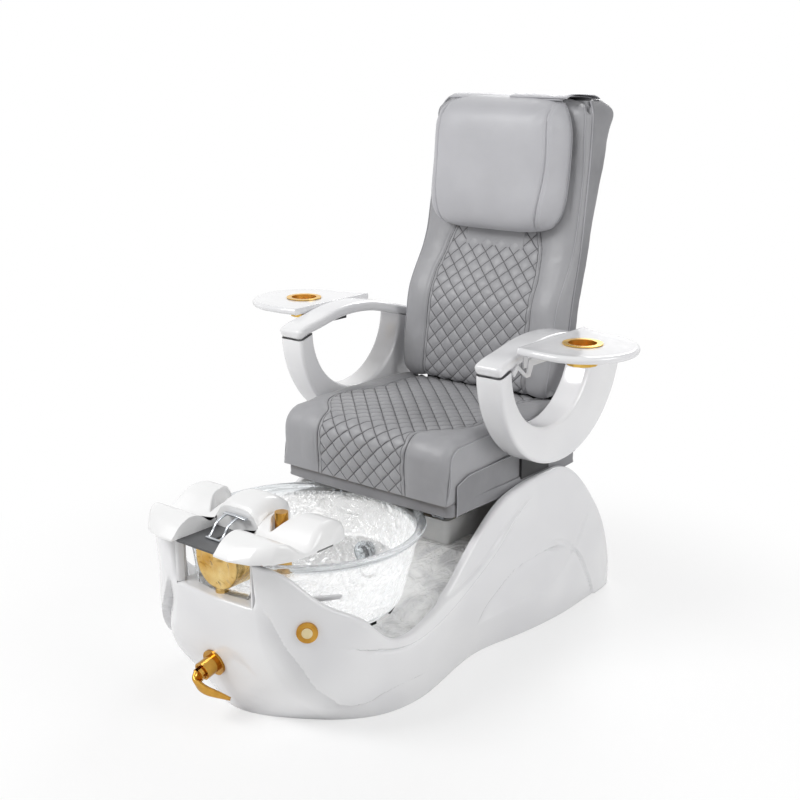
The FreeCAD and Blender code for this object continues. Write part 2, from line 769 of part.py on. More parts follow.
def seat_cushion():
    """Crowned across, with rolled sides that pull in and skirts of leather over the board's edge."""
    half = size("seat_half_width")
    spots = []
    for step in range(-6, 7):
        share = sin(radians(15 * step))
        fall = 1 - (1 - abs(share) ** 6) ** 0.5
        spots.append((half * share, 4 * share ** 2 + 50 * fall, 9 * fall))
    form = cushion_loft([seat_station(*spot) for spot in spots])
    return feature("seat_cushion", form)


def seat_board():
    low = "frame_bottom+seat_tube+fit_gap"
    board = block("seat_board", "2*seat_half_width-4", "seat_rear-seat_front-12", "seat_board",
                  ("-seat_half_width+2", "seat_front+10", low))
    return keep(board, "seat_board")


def seat_skirt():
    """The leather apron that hangs from the board on all four sides."""
    half, skin, low = size("seat_half_width"), size("skirt_skin"), size("skirt_bottom")
    high = size("frame_bottom") + size("seat_tube") - size("fit_gap")
    front, rear = size("seat_front") + 24, size("seat_rear") + 82
    outer = box((-half, front, low), (half, rear, high))
    inner = box((-half + skin, front + skin, low - 1), (half - skin, rear - skin, high + 1))
    ring = outer.cut(inner)
    ring = ring.cut(box((-400, 345, 0), (400, rear + 1, low + 26)))
    apron = box((-half, size("seat_rear") + 1, high), (half, rear, size("back_bottom") - 24))
    apron = apron.cut(box((-half + skin, size("seat_rear"), 0), (half - skin, rear - skin, 700)))
    apron = apron.cut(box((-half + skin, rear - skin - 1, size("pivot_height") + 8), (half - skin, rear + 1, 700)))
    ring = ring.fuse(apron)
    for side in (-1, 1):
        x = side * (half - skin / 2)
        ring = ring.cut(box((x - 6, 200 - 3, high - 14), (x + 6, 326 + 3, high + 2)))
        ring = ring.cut(box((x - 6, front - 1, 0), (x + 6, front + 9, low + 16)))
    return feature("seat_skirt", ring.removeSplitter())


# Arms
ARM_BOLTS = ((222, 532), (304, 532), (263, 500))
CAP_TOP = [(-21, -42), (12, -30), (51, -22), (127, -6), (232, 0), (290, -6), (396, -32), (478, -54), (545, -74)]


def cap_line(drop):
    """The arm cap's crest as (y, z) points, lowered by a drop."""
    return [(y, size("cap_crest") + z - drop) for y, z in CAP_TOP]


def cap_slab(low_drop, high_drop, x_from, x_to):
    low = smooth([(x_from, y, z) for y, z in cap_line(low_drop)])
    high = smooth([(x_from, y, z) for y, z in cap_line(high_drop)])
    first, last = cap_line(low_drop)[0], cap_line(low_drop)[-1]
    first_up, last_up = cap_line(high_drop)[0], cap_line(high_drop)[-1]
    wire = Part.Wire([low, line((x_from,) + last, (x_from,) + last_up), high,
                      line((x_from,) + first_up, (x_from,) + first)])
    return Part.Face(wire).extrude(V(x_to - x_from, 0, 0))


def arm(side_name, side):
    """One arm: crescent loop, cap, tray, cup and the hinge between cap and tray."""
    inside, width = size("arm_inside"), size("arm_width")
    outside = inside + width
    level, skin = size("arm_level"), size("cap_skin")

    def sided(shape):
        return mirrored(shape) if side < 0 else shape

    ring = rod(size("arm_radius"), (inside, size("arm_center"), level), (outside, size("arm_center"), level))
    hole = rod(size("loop_radius"), (inside - 1, size("loop_center"), level + 3),
               (outside + 1, size("loop_center"), level + 3))
    above = cap_slab(skin + size("fit_gap"), -400, inside - 1, outside + 1)
    above = above.fuse(box((inside - 1, -60, 700), (outside + 1, -20.9, 1200)))
    above = above.fuse(box((inside - 1, 544.9, 690), (outside + 1, 620, 1200)))
    loop = ring.cut(hole).cut(above)
    for y, z in ARM_BOLTS:
        loop = loop.cut(rod(4.2, (inside - 1, y, z), (inside + 28, y, z)))
    feature("arm_loop_" + side_name, sided(loop))
    cap = cap_slab(skin, 0, inside, outside)
    edges = [e for e in cap.Edges if e.BoundBox.ZMax > size("cap_crest") - 1 or e.BoundBox.YMax < -20]
    cap = cap.makeFillet(7, [e for e in edges if e.Length > 60])
    feature("arm_cap_" + side_name, sided(cap))
    top, plate = size("tray_top"), size("tray_plate")
    reach, center, radius = size("tray_reach"), size("tray_center"), size("tray_radius")
    edge, low = outside + 5, top - plate
    near, far = center - radius, center + radius
    outline = [line((edge, near + 12, low), (edge, far + 32, low)),
               eased((edge, far + 32, low), (edge + 28, far + 24, low), (reach - 30, far, low), (reach, far, low)),
               arc((reach, far, low), (reach + radius, center, low), (reach, near, low)),
               eased((reach, near, low), (reach - 30, near, low), (edge + 28, near + 9, low), (edge, near + 12, low))]
    tray = Part.Face(Part.Wire(outline)).extrude(V(0, 0, plate))
    rims = [e for e in tray.Edges if e.BoundBox.ZLength < 1 and e.BoundBox.XMax > edge + 10]
    tray = tray.makeFillet(5, rims)
    cup_x, cup_y = size("cup_reach"), size("cup_center")
    lip_r, cup_r, wall = size("cup_radius") + 3, size("cup_radius") - 7, size("cup_skin")
    tray = tray.cut(rod(cup_r + 1, (cup_x, cup_y, low - 5), (cup_x, cup_y, top + 5)))
    pin, pin_x, pin_z = size("hinge_pin"), outside + 8, low - 8
    knuckle = rod(pin + 1.8, (pin_x, 120.4, pin_z), (pin_x, 221.6, pin_z))
    knuckle = knuckle.fuse(box((pin_x - 2, 120.4, pin_z), (pin_x + 5.8, 221.6, low + 1)))
    tray = tray.fuse(knuckle).cut(rod(pin + size("running_gap"), (pin_x, 80, pin_z), (pin_x, 260, pin_z)))
    feature("tray_" + side_name, sided(tray))
    cup = rod(lip_r, (cup_x, cup_y, top), (cup_x, cup_y, top + 2))
    cup = cup.fuse(rod(cup_r, (cup_x, cup_y, low - 1), (cup_x, cup_y, top)))
    facets = Part.makePolygon([V(cup_x + cup_r * cos(radians(30 * i)), cup_y + cup_r * sin(radians(30 * i)),
                                 top - size("cup_depth")) for i in range(13)])
    cup = cup.fuse(Part.Face(facets).extrude(V(0, 0, size("cup_depth") - plate)))
    cup = cup.cut(rod(cup_r - wall - 1, (cup_x, cup_y, top - size("cup_depth") + wall), (cup_x, cup_y, top + 5)))
    feature("cup_" + side_name, sided(cup.removeSplitter()))
    leaf_low = 742
    bracket = box((outside + 0.2, 78, leaf_low), (outside + 2, 252, pin_z + 2))
    for y0, y1 in ((90, 120), (222, 252)):
        barrel = rod(pin + 1.8, (pin_x, y0, pin_z), (pin_x, y1, pin_z))
        bracket = bracket.fuse(barrel).fuse(box((outside + 1, y0, pin_z - 3), (pin_x, y1, pin_z - 0.5)))
    zigzag = face_of([(outside + 0.2, 30, 742), (outside + 0.2, 50, 757), (outside + 0.2, 88, 727),
                      (outside + 0.2, 96, 760), (outside + 0.2, 126, 764), (outside + 0.2, 104, 718),
                      (outside + 0.2, 88, 718), (outside + 0.2, 52, 744), (outside + 0.2, 38, 730)]).extrude(V(4, 0, 0))
    bracket = bracket.fuse(zigzag).fuse(rod(pin, (pin_x, 88, pin_z), (pin_x, 254, pin_z)))
    feature("tray_hinge_" + side_name, sided(bracket.removeSplitter()))


def arm_bracket():
    """The flat steel that runs from the seat frame out to the arm and up its inner face."""
    top = size("frame_bottom") + size("seat_tube")
    inner, inside = size("seat_half_width"), size("arm_inside") - 0.2
    bracket = box((205, 200, top - 6), (inside, 326, top)).fuse(box((inner + 2.5, 200, top - 6), (inside, 326, 548)))
    for y, z in ARM_BOLTS:
        bracket = bracket.cut(rod(4.2, (inner, y, z), (inside + 5, y, z)))
    return bracket


def arm_bolts():
    """Cap screws from the brackets into the loops, their heads sunk in the bracket."""
    bolts = []
    for y, z in ARM_BOLTS:
        head = size("seat_half_width") + 0.6
        bolt = rod(7, (head, y, z), (head + 1.8, y, z)).fuse(rod(4, (head, y, z), (size("arm_inside") + 26, y, z)))
        bolts += [bolt, mirrored(bolt)]
    return feature("arm_bolts", Part.makeCompound(bolts))


# Back: heights with the front edge, the seam, the rear edge and the half width there
BACK_LEVELS = ((577, 374, 430, 446, 240), (650, 374, 436, 474, 250), (740, 386, 446, 488, 252),
               (830, 402, 460, 506, 252), (930, 456, 486, 537, 251), (1060, 492, 508, 570, 250),
               (1180, 510, 526, 612, 248), (1276, 515, 538, 648, 244))


def back_station(level, front, seam, half, crown, side_gap):
    """The back cushion's plan section: flat behind, crowned in front, sides drawn in."""
    half -= side_gap
    a, b = (half - 6, seam, level), (half - 16, front + 6, level)
    bulge = (half, (front + seam) / 2 + 4, level)
    mid = (0, front - crown, level)

    def flip(p):
        return (-p[0], p[1], p[2])

    return [line(flip(a), a), arc(a, bulge, b), arc(b, mid, flip(b)), arc(flip(b), flip(bulge), flip(a))]


def between(rows, level):
    """A value read off a list of (level, value) rows by straight lines."""
    for (low, first), (high, second) in zip(rows, rows[1:]):
        if low <= level <= high:
            return first + (second - first) * (level - low) / (high - low)
    return rows[0][1] if level < rows[0][0] else rows[-1][1]


def back_cushion():
    stations = []
    for level, front, seam, rear, half in BACK_LEVELS:
        stations.append(back_station(level, front, seam - 3, half, 16, 2))
    top = BACK_LEVELS[-1]
    stations.append(back_station(size("back_top") - 16, top[1] + 8, top[2] + 5, top[4] - 8, 12, 2))
    stations.append(back_station(size("back_top") - 4, top[1] + 17, top[2] + 15, top[4] - 22, 6, 2))
    form = cushion_loft(stations)
    rows = [(level, seam) for level, front, seam, rear, half in BACK_LEVELS]
    ends = (size("track_low") - 40, size("track_high") - 10)
    track = [(ends[0], between(rows, ends[0]))]
    track += [row for row in rows if ends[0] < row[0] < ends[1]] + [(ends[1], between(rows, ends[1]))]
    profile = [(seam - 34, level) for level, seam in track] + [(seam + 60, level) for level, seam in reversed(track)]
    return feature("back_cushion", form.cut(side_slab(profile, 92)))


def shell_station(level, seam, rear, half, inset, forward):
    """The rear shell's plan section: straight sides and rounded rear corners."""
    half, rear = half - inset, rear - inset
    bend = min(26, (rear - seam) * 0.45)
    a, b, c = (half, seam - forward, level), (half, rear - bend, level), (half - bend, rear, level)
    corner = (half - bend * 0.29, rear - bend * 0.29, level)

    def flip(p):
        return (-p[0], p[1], p[2])

    return [line(flip(a), a), line(a, b), arc(b, corner, c), line(c, flip(c)), arc(flip(c), flip(corner), flip(b)),
            line(flip(b), flip(a))]


def back_shell():
    """The hard shell behind the back, open towards the cushion and below."""
    skin = size("shell_skin")
    outer, inner = [], []
    for level, front, seam, rear, half in BACK_LEVELS:
        outer.append(shell_station(level, seam, rear, half, 0, 0))
    top = BACK_LEVELS[-1]
    outer.append(shell_station(1316, top[2] + 8, top[3] + 3, top[4] - 6, 0, 0))
    outer.append(shell_station(size("back_top"), top[2] + 26, top[3] - 30, top[4] - 22, 0, 0))
    for level, front, seam, rear, half in BACK_LEVELS:
        inner.append(shell_station(level - (30 if level == BACK_LEVELS[0][0] else 0), seam, rear, half, skin, 30))
    inner.append(shell_station(1310, top[2] + 8, top[3] - 3, top[4] - 8, skin, 30))
    shell = cushion_loft(outer).cut(cushion_loft(inner))
    return feature("back_shell", shell)


def round_tube(radius, points):
    """A tube of straight runs with ball-shaped joints."""
    shape = None
    for start, end in zip(points, points[1:]):
        run = rod(radius, start, end).fuse(Part.makeSphere(radius, V(*end)))
        shape = run if shape is None else shape.fuse(run)
    return shape


# Bends of the back's side tubes above the pivot, as (y, z)
TUBE_BENDS = [(456, 690), (508, 930), (576, 1240)]


def track_back(level):
    """How far back the massage track lies at a height; it is straight, just ahead of the tubes' first bend."""
    bend = TUBE_BENDS[0]
    return bend[0] - 1 + (level - bend[1]) * size("track_lean")


def back_frame():
    """Two side tubes, cross tubes, the pivot lugs and the massage track's two rods."""
    back, high, radius = size("pivot_back"), size("pivot_height"), size("pivot_radius")
    side, tube = size("back_rail_offset"), size("back_tube") / 2
    path = [(back, high)] + TUBE_BENDS
    low_tube = high + 58
    low_back = back + 0.5
    frame = None
    for x in (-side, side):
        runs = round_tube(tube, [(x, y, z) for y, z in path])
        lug = rod(20, (x - 6, back, high), (x + 6, back, high))
        piece = runs.fuse(lug).cut(rod(radius + size("running_gap"), (x - 20, back, high), (x + 20, back, high)))
        piece = piece.cut(box((x + 6.2, back - 30, high - 30), (x + 40, back + 30, high + 30)))
        piece = piece.cut(box((x - 40, back - 30, high - 30), (x - 6.2, back + 30, high + 30)))
        frame = piece if frame is None else frame.fuse(piece)
    for y, z in ((low_back, low_tube), TUBE_BENDS[-1]):
        frame = frame.fuse(rod(tube, (-side, y, z), (side, y, z)))
    low, high_end = size("track_low"), size("track_high")
    for x in (-62, 62):
        frame = frame.fuse(rod(5, (x, track_back(low), low), (x, track_back(high_end), high_end)))
    for level in (low, high_end):
        spot = track_back(level)
        frame = frame.fuse(box((-side, spot - 8, level - 8), (side, spot + 8, level + 8)))
    under, over = low - 20, high_end + 20
    screw = rod(6 + size("running_gap"), (0, track_back(under), under), (0, track_back(over), over))
    return feature("back_frame", frame.removeSplitter().cut(screw))


def massage():
    """The carriage on its two rods, the rollers on their shaft, the lead screw and its motor."""
    low, high = size("track_low"), size("track_high")
    rest = low + 74
    leaned = FreeCAD.Placement(V(0, track_back(rest), rest), FreeCAD.Rotation(Z_AXIS, V(0, size("track_lean"), 1)))
    gap = size("running_gap")
    car = box((-84, -13, -30), (84, 13, 30))
    for x in (-78, 72):
        car = car.fuse(box((x, -34, -12), (x + 6, 0, 12)))
    car = car.cut(box((-71.5, -60, -29), (71.5, -5, 29)))
    for x, y, radius in ((-62, 0, 5), (0, 0, 6), (62, 0, 5)):
        car = car.cut(rod(radius + gap, (x, y, -60), (x, y, 60)))
    car = car.cut(rod(4 + gap, (-100, -26, 0), (100, -26, 0)))
    feature("massage_carriage", car, leaned)
    shaft = rod(4, (-80, -26, 0), (80, -26, 0))
    for x in (-60, -24, 12, 48):
        wheel = rod(20, (x, -26, 0), (x + 14, -26, 0))
        shaft = shaft.fuse(wheel.makeFillet(4, [e for e in wheel.Edges if e.Length > 100]))
    feature("massage_rollers", shaft.removeSplitter(), leaned)
    screw = rod(6, (0, track_back(low - 14), low - 14), (0, track_back(high + 10), high + 10))
    feature("massage_screw", screw)
    motor = rod(14, (0, track_back(low - 42), low - 42), (0, track_back(low - 15), low - 15))
    feature("massage_motor", motor)


def pillow():
    """The headrest pillow: a crowned pad that leans with the back."""
    half, low, high = size("pillow_half_width"), size("pillow_bottom"), size("pillow_top") - 8
    stations = []
    for share, deep, narrow in ((0.0, 26, 34), (0.06, 52, 14), (0.2, 68, 4), (0.5, 76, 0), (0.8, 72, 4),
                                (0.94, 56, 16), (1.0, 30, 40)):
        level = low + (high - low) * share
        behind = back_front(level) - 21.5
        wide = half - narrow
        a, b = (wide - 14, behind, level), (wide - 14, behind - deep * 0.6, level)
        bulge = (wide, behind - deep * 0.34, level)

        def flip(p):
            return (-p[0], p[1], p[2])

        stations.append([line(flip(a), a), arc(a, bulge, b), arc(b, (0, behind - deep, level), flip(b)),
                         arc(flip(b), flip(bulge), flip(a))])
    return feature("headrest_pillow", cushion_loft(stations))


def back_front(level):
    """The back's front edge at a height, between the back's levels."""
    for (z0, f0), (z1, f1) in zip([(r[0], r[1]) for r in BACK_LEVELS], [(r[0], r[1]) for r in BACK_LEVELS[1:]]):
        if z0 <= level <= z1:
            return f0 + (f1 - f0) * (level - z0) / (z1 - z0)
    return BACK_LEVELS[-1][1] + (level - BACK_LEVELS[-1][0]) * 0.35


def rim_reach(shape, around, angle):
    """How far a shape reaches from a point (y, z), along a ray in the side view."""
    y, z = around
    far = 0
    for x in (0, 90, 178):
        ray = line((x, y, z), (x, y + 300 * cos(radians(angle)), z + 300 * sin(radians(angle))))
        far = max([far] + [v.Point.distanceToPoint(V(x, y, z)) for v in shape.common(ray).Vertexes])
    return far


def pillow_strap(shell):
    """The flap of leather that carries the pillow over the top of the back, a little clear of the shell."""
    top, around = size("pillow_top"), (596, 1256)
    inner, outer = [(488, top - 7.5), (516, top - 3)], [(488, top - 4.5), (516, top)]
    for angle in range(112, -8, -6):
        reach = rim_reach(shell, around, angle)
        for points, clear in ((inner, 1.4), (outer, 4.4)):
            points.append((around[0] + (reach + clear) * cos(radians(angle)),
                           around[1] + (reach + clear) * sin(radians(angle))))
    return feature("headrest_strap", side_slab(inner + outer[::-1], size("pillow_half_width") - 40))


def recline():
    """The two pivot pins and the gear motor that turns the back."""
    back, high, radius = "pivot_back", "pivot_height", "pivot_radius"
    pins = []
    for name, start, length in (("far", "-240", "44"), ("near", "180.3", "59.7")):
        pins.append(cylinder("pin_" + name, radius, length, (start, back, high), X_AXIS))
    keep(group("recline_pins", *pins), "recline_pins")
    can = cylinder("recline_can", "24", "120", ("60", back, high), X_AXIS)
    box_part = block("recline_gear", "30", "70", "60", ("150", back + "-44", high + "-30"))
    arm_part = block("recline_arm", "16", "18", "70", ("156", back + "-40", "frame_bottom+seat_tube+24"))
    keep(fuse("recline_motor", can, box_part, arm_part), "recline_motor")


# Spout, footrest and fittings
def spout_body():
    """The D-shaped spout: flat on top, round below, with a foot that stands on the ledge."""
    half, front, depth = size("spout_half_width"), size("spout_front"), size("spout_depth")
    low, high = size("spout_bottom"), size("spout_top")
    middle = low + half
    outline = [line((-half, front, high), (half, front, high)), line((half, front, high), (half, front, middle)),
               arc((half, front, middle), (0, front, low), (-half, front, middle)),
               line((-half, front, middle), (-half, front, high))]
    shape = Part.Face(Part.Wire(outline)).extrude(V(0, depth, 0))
    shape = shape.makeFillet(4, [e for e in shape.Edges if e.BoundBox.YMax < front + 1])
    shape = shape.fuse(rod(15, (0, front + 16, size("ledge_top")), (0, front + 16, low + 20)))
    pin, height = size("foot_pin_back"), high
    shape = shape.cut(rod(9 + size("running_gap"), (0, pin, height - 62), (0, pin, height + 1)))
    mouth = box((-half + 12, front + depth - 26, low + 34), (half - 12, front + depth + 1, low + 46))
    x, y, radius = size("shower_side"), size("shower_back"), size("shower_radius")
    collar = rod(radius + 5, (x, y, high - 40), (x, y, high - 14))
    reach = box((half - 2, front + depth - 16, high - 34), (x, front + depth - 2, high - 20))
    reach = reach.fuse(box((x - 8, front + depth - 16, high - 34), (x + 6, y, high - 20)))
    collar = collar.fuse(reach).cut(rod(radius + size("running_gap"), (x, y, high - 60), (x, y, high)))
    return feature("spout_body", shape.cut(mouth).fuse(collar).removeSplitter())


def footrest():
    """Post in the spout body, tilting head, carrier plate and the two-lobed pad."""
    back, pin_z, pin_r = size("foot_pin_back"), size("foot_pin_height"), size("foot_pin_radius")
    high = size("spout_top")
    post = rod(9, (0, back, high - 60), (0, back, high + 5))
    post = post.fuse(box((-11, back - 11, high + 0.4), (11, back + 11, high + 6)))
    post = post.fuse(box((-7, back - 9, high + 4), (7, back + 9, pin_z + 1)))
    post = post.fuse(rod(9, (-7, back, pin_z), (7, back, pin_z)))
    feature("footrest_post", post.cut(rod(pin_r + size("running_gap"), (-20, back, pin_z), (20, back, pin_z))))
    feature("footrest_pin", rod(pin_r, (-26, back, pin_z), (26, back, pin_z)))
    low, plate = size("foot_plate_bottom"), size("foot_plate")
    outline = [(-170, -606), (-66, -638), (66, -638), (170, -606), (200, -524), (62, -508), (50, -440),
               (-50, -440), (-62, -508), (-200, -524)]
    carrier = face_of([(x, y, low) for x, y in outline]).extrude(V(0, 0, plate))
    carrier = carrier.cut(box((-8, back - 40, low - 1), (8, back + 12, low + plate + 1)))
    for x in (-14, 8):
        ear = box((x, back - 9, pin_z - 9), (x + 6, back + 9, low + plate))
        carrier = carrier.fuse(ear)
    carrier = carrier.cut(rod(pin_r, (-30, back, pin_z), (30, back, pin_z)))
    feature("footrest_plate", carrier.removeSplitter())
    feature("footrest_head", footrest_head())
    return footrest_pad()


def footrest_head():
    """The V-shaped chrome head that stands in the pad's gap, over the pivot."""
    back, low = size("foot_pin_back"), size("foot_plate_bottom") + size("foot_plate") + size("fit_gap")
    side = [(back - 48, low), (back + 16, low), (back + 22, low + 30), (back + 2, low + 34)]
    slab = side_slab(side, 15)
    wing = side_slab([(back + 4, low), (back + 20, low), (back + 22, low + 28), (back + 12, low + 30)], 30)
    return slab.fuse(wing).removeSplitter()


# The pad's top in the side view: a bump under the toes, a channel, a bump under the heel; and the hump between
PAD_WAVE = [(-664, 426), (-646, 444), (-620, 463), (-592, 470), (-560, 459), (-530, 441), (-508, 454), (-482, 474),
            (-448, 481), (-412, 473), (-386, 452), (-366, 426)]
HUMP_WAVE = [(-521, 474), (-490, 485), (-450, 487), (-404, 466), (-370, 426)]


def wave_slab(wave, base, reach):
    """A slab across the chair from a base height up to a wavy top."""
    top = smooth([(-reach, y, z) for y, z in wave])
    first, last = wave[0], wave[-1]
    low = Part.makePolygon([V(-reach, last[0], last[1]), V(-reach, last[0], base), V(-reach, first[0], base),
                            V(-reach, first[0], first[1])])
    return Part.Face(Part.Wire([top] + low.Edges)).extrude(V(2 * reach, 0, 0))


def footrest_pad():
    """A lobe for each foot, waved from toe to heel, a raised hump between them and a gap in front of the hump."""
    half, base = size("foot_half_width"), size("foot_plate_bottom") + size("foot_plate") + size("fit_gap")
    right = [(0, -652), (66, -654), (110, -656), (160, -641), (half - 26, -608), (half - 6, -565), (half, -510),
             (half, -445), (half - 10, -400), (half - 36, -378), (half - 66, -384), (138, -420), (122, -470),
             (96, -506), (74, -474), (62, -424), (40, -388), (0, -378)]
    full = right + [(-x, y) for x, y in right[-2:0:-1]]
    runs = [full[0:5], full[4:11], full[10:18], full[17:25], full[24:31], full[30:] + [full[0]]]
    edges = [smooth([(x, y, base) for x, y in run]) for run in runs]
    plan = Part.Face(Part.Wire(edges)).extrude(V(0, 0, 120))
    gap, gap_rear = size("foot_gap"), size("foot_gap_rear")
    lobes = plan.common(wave_slab(PAD_WAVE, base - 5, half + 10))
    hump = plan.common(wave_slab(HUMP_WAVE, base - 5, gap + 14))
    return feature("footrest_pad", lobes.fuse(hump).cut(box((-gap, -700, 0), (gap, gap_rear, 600))).removeSplitter())


def shower():
    """The hand shower that stands in the spout body's collar."""
    x, y, radius = "shower_side", "shower_back", "shower_radius"
    stem = cylinder("shower_stem", radius, "159", (x, y, "spout_top-70"))
    stop = cylinder("shower_stop", radius + "+3", "6", (x, y, "spout_top-14+fit_gap"))
    neck = cylinder("shower_nut", radius + "-4", "16", (x, y, "spout_top-86"))
    keep(fuse("hand_shower", stem, stop, neck), "hand_shower")


def mixer():
    """Flange and body square to the bow, the stem that turns in it, and the lever that lifts."""
    radius, gap, spot = size("mixer_radius"), size("running_gap"), mixer_place()
    seat = hull(0)
    seat.Placement = spot.inverse()
    flange = rod(size("mixer_flange_radius"), (0, 0, -6), (0, 0, 5)).cut(seat)
    case = rod(radius, (0, 0, 1), (0, 0, 40)).cut(seat)
    shank = rod(radius - 6, (0, 0, -46), (0, 0, 3))
    nut = rod(radius + 5, (0, 0, -40), (0, 0, -31))
    room = rod(radius - 4, (0, 0, 8), (0, 0, 60))
    feature("mixer_body", flange.fuse(case).fuse(shank).fuse(nut).cut(room).removeSplitter(), spot)
    stem = rod(radius - 4 - gap, (0, 0, 8.3), (0, 0, 38)).fuse(rod(radius - 7, (0, 0, 37), (0, 0, 52)))
    stem = stem.cut(box((-5, -20, 40.5), (5, 20, 60))).cut(rod(2.5 + gap, (-30, 0, 46), (30, 0, 46)))
    feature("mixer_stem", stem, spot)
    center = V(0, 0, 46)
    cap = Part.makeSphere(radius + 1, center).cut(Part.makeSphere(radius - 2.5, center))
    below = box((-60, -60, -60), (60, 60, 41.5))
    cap = cap.cut(below)
    below.rotate(center, X_AXIS, size("lever_lift"))
    cap = cap.cut(below)
    axle = rod(2.5, (-20, 0, 46), (20, 0, 46))
    tip = V(0, -98, 34)
    handle = rod(6.5, (0, -19, 50), tip).fuse(Part.makeSphere(6.5, tip))
    feature("mixer_lever", cap.fuse(axle).fuse(handle).removeSplitter(), spot)


def air_button():
    """The air switch: ring on the hull, cap that is pressed and the spring behind it."""
    cap_radius, gap, spot = size("button_cap_radius"), size("running_gap"), button_place()
    seat = hull(0)
    seat.Placement = spot.inverse()
    bore = rod(cap_radius + gap, (0, 0, -26), (0, 0, 20))
    ring = rod(size("button_radius"), (0, 0, -8), (0, 0, 5)).cut(seat)
    sleeve = rod(cap_radius + 3, (0, 0, -30), (0, 0, 3))
    feature("air_button_ring", ring.fuse(sleeve).cut(bore).removeSplitter(), spot)
    feature("air_button_cap", rod(cap_radius, (0, 0, -8), (0, 0, 7)), spot)
    feature("air_button_spring", rod(7, (0, 0, -25.8), (0, 0, -8.2 - size("button_travel"))).cut(rod(5, (0, 0, -30), (0, 0, 0))), spot)


def services():
    """Water inlets, control box and power socket inside the base."""
    inlets = []
    level, end = size("inlet_height"), size("inlet_end")
    for x in (size("inlet_far_side"), size("inlet_near_side")):
        stem = rod(10.5, (x, end - 34, level), (x, end, level))
        shoulder = rod(15, (x, end - 40, level), (x, end - 34, level))
        foot = box((x - 12, end - 56, 61.3), (x + 12, end - 40, level + 14))
        inlets.append(stem.fuse(shoulder).fuse(foot).removeSplitter())
    feature("water_inlets", Part.makeCompound(inlets))
    case = box((40, 396, 61.3), (165, 470, 150))
    case = case.makeFillet(6, [e for e in case.Edges if e.BoundBox.ZLength > 50])
    socket = box((70, 469, 84), (120, 494, 112)).cut(box((75, 480, 88), (115, 495, 108)))
    feature("control_box", case.fuse(socket).removeSplitter())


def build():
    base_shell()
    rear_door()
    base_frame()
    levelling_feet()
    basin_deck()
    seat_plinth()
    bowl()
    bowl_seal()
    drain()
    drain_trap()
    jet()
    slide()
    seat_frame()
    seat_board()
    seat_cushion()
    seat_skirt()
    arm("left", 1)
    arm("right", -1)
    arm_bolts()
    back_frame()
    shell = back_shell().Shape
    back_cushion()
    massage()
    pillow()
    pillow_strap(shell)
    recline()
    spout_body()
    footrest()
    shower()
    mixer()
    air_button()
    services()
    doc.recompute()


def write():
    """Check every object, then write each sub-part's shape."""
    for obj in doc.Objects:
        if "Invalid" in obj.State or "Error" in obj.State:
            raise RuntimeError("%s failed: %s" % (obj.Name, obj.State))
    for obj in nodes:
        if obj.Shape.isNull() or not obj.Shape.isValid():
            raise RuntimeError("%s has no valid shape" % obj.Label)
    os.makedirs("parts", exist_ok=True)
    for obj in nodes:
        obj.Shape.exportStep("parts/%s.step" % obj.Label)
    print(len(nodes), "nodes; mixer at", mixer_place(), "button at", button_place())


build()
write()
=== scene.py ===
"""Pedicure spa chair: the visible surfaces, finishes and studio, built round the fixed frame."""

import math

import bmesh
import bpy
import numpy as np
from bpy.props import FloatProperty, FloatVectorProperty, PointerProperty
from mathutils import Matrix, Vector, noise


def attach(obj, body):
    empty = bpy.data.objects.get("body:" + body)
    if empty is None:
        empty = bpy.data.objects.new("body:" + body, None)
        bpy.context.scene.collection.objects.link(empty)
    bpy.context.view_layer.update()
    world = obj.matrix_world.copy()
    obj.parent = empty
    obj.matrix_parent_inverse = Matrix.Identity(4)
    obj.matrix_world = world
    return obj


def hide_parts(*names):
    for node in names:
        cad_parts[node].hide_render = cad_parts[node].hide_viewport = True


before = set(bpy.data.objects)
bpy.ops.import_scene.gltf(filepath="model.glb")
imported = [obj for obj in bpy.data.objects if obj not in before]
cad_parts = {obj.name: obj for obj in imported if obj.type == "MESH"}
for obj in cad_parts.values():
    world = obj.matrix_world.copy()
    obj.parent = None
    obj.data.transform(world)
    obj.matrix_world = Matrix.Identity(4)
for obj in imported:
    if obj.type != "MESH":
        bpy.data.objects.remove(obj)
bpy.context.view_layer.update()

bl_info = {
    "name": "Pedicure spa chair",
    "version": (1, 0, 0),
    "blender": (4, 5, 0),
    "location": "View3D > Sidebar > Spa chair",
    "description": "Builds the surfaces and finishes of a pedicure spa chair round its mechanical frame",
    "category": "Object",
}

MM = 0.001
SIDES = {"near": (1, "left"), "far": (-1, "right")}  # the way along x and the name in the frame


# Colours and nodes
def linear(code):
    """A linear colour from an sRGB hex code."""
    parts = [int(code[i : i + 2], 16) / 255 for i in (1, 3, 5)]
    return tuple(c / 12.92 if c <= 0.04045 else ((c + 0.055) / 1.055) ** 2.4 for c in parts) + (1.0,)


def shade(value):
    """A linear colour from a hex code, a grey level or a linear colour."""
    if isinstance(value, str):
        return linear(value)
    return value if isinstance(value, tuple) else (value,) * 3 + (1.0,)


def join(tree, node, inputs):
    """Give a node its inputs: each is a value, another node's output socket, or a node for its first output."""
    for name, value in inputs.items():
        source = value.outputs[0] if isinstance(value, bpy.types.Node) else value
        if isinstance(source, bpy.types.NodeSocket):
            tree.links.new(source, node.inputs[name])
        else:
            node.inputs[name].default_value = source


def add(tree, kind, inputs=None, stops=(), **settings):
    """Add a node with its settings and inputs; the stops of a colour ramp are (place, colour)."""
    made = tree.nodes.new(kind)
    for name, value in settings.items():
        setattr(made, name, value)
    join(tree, made, inputs or {})
    if stops:
        elements = made.color_ramp.elements
        for element, (where, colour) in zip(elements, stops):
            element.position, element.color = where, shade(colour)
    return made


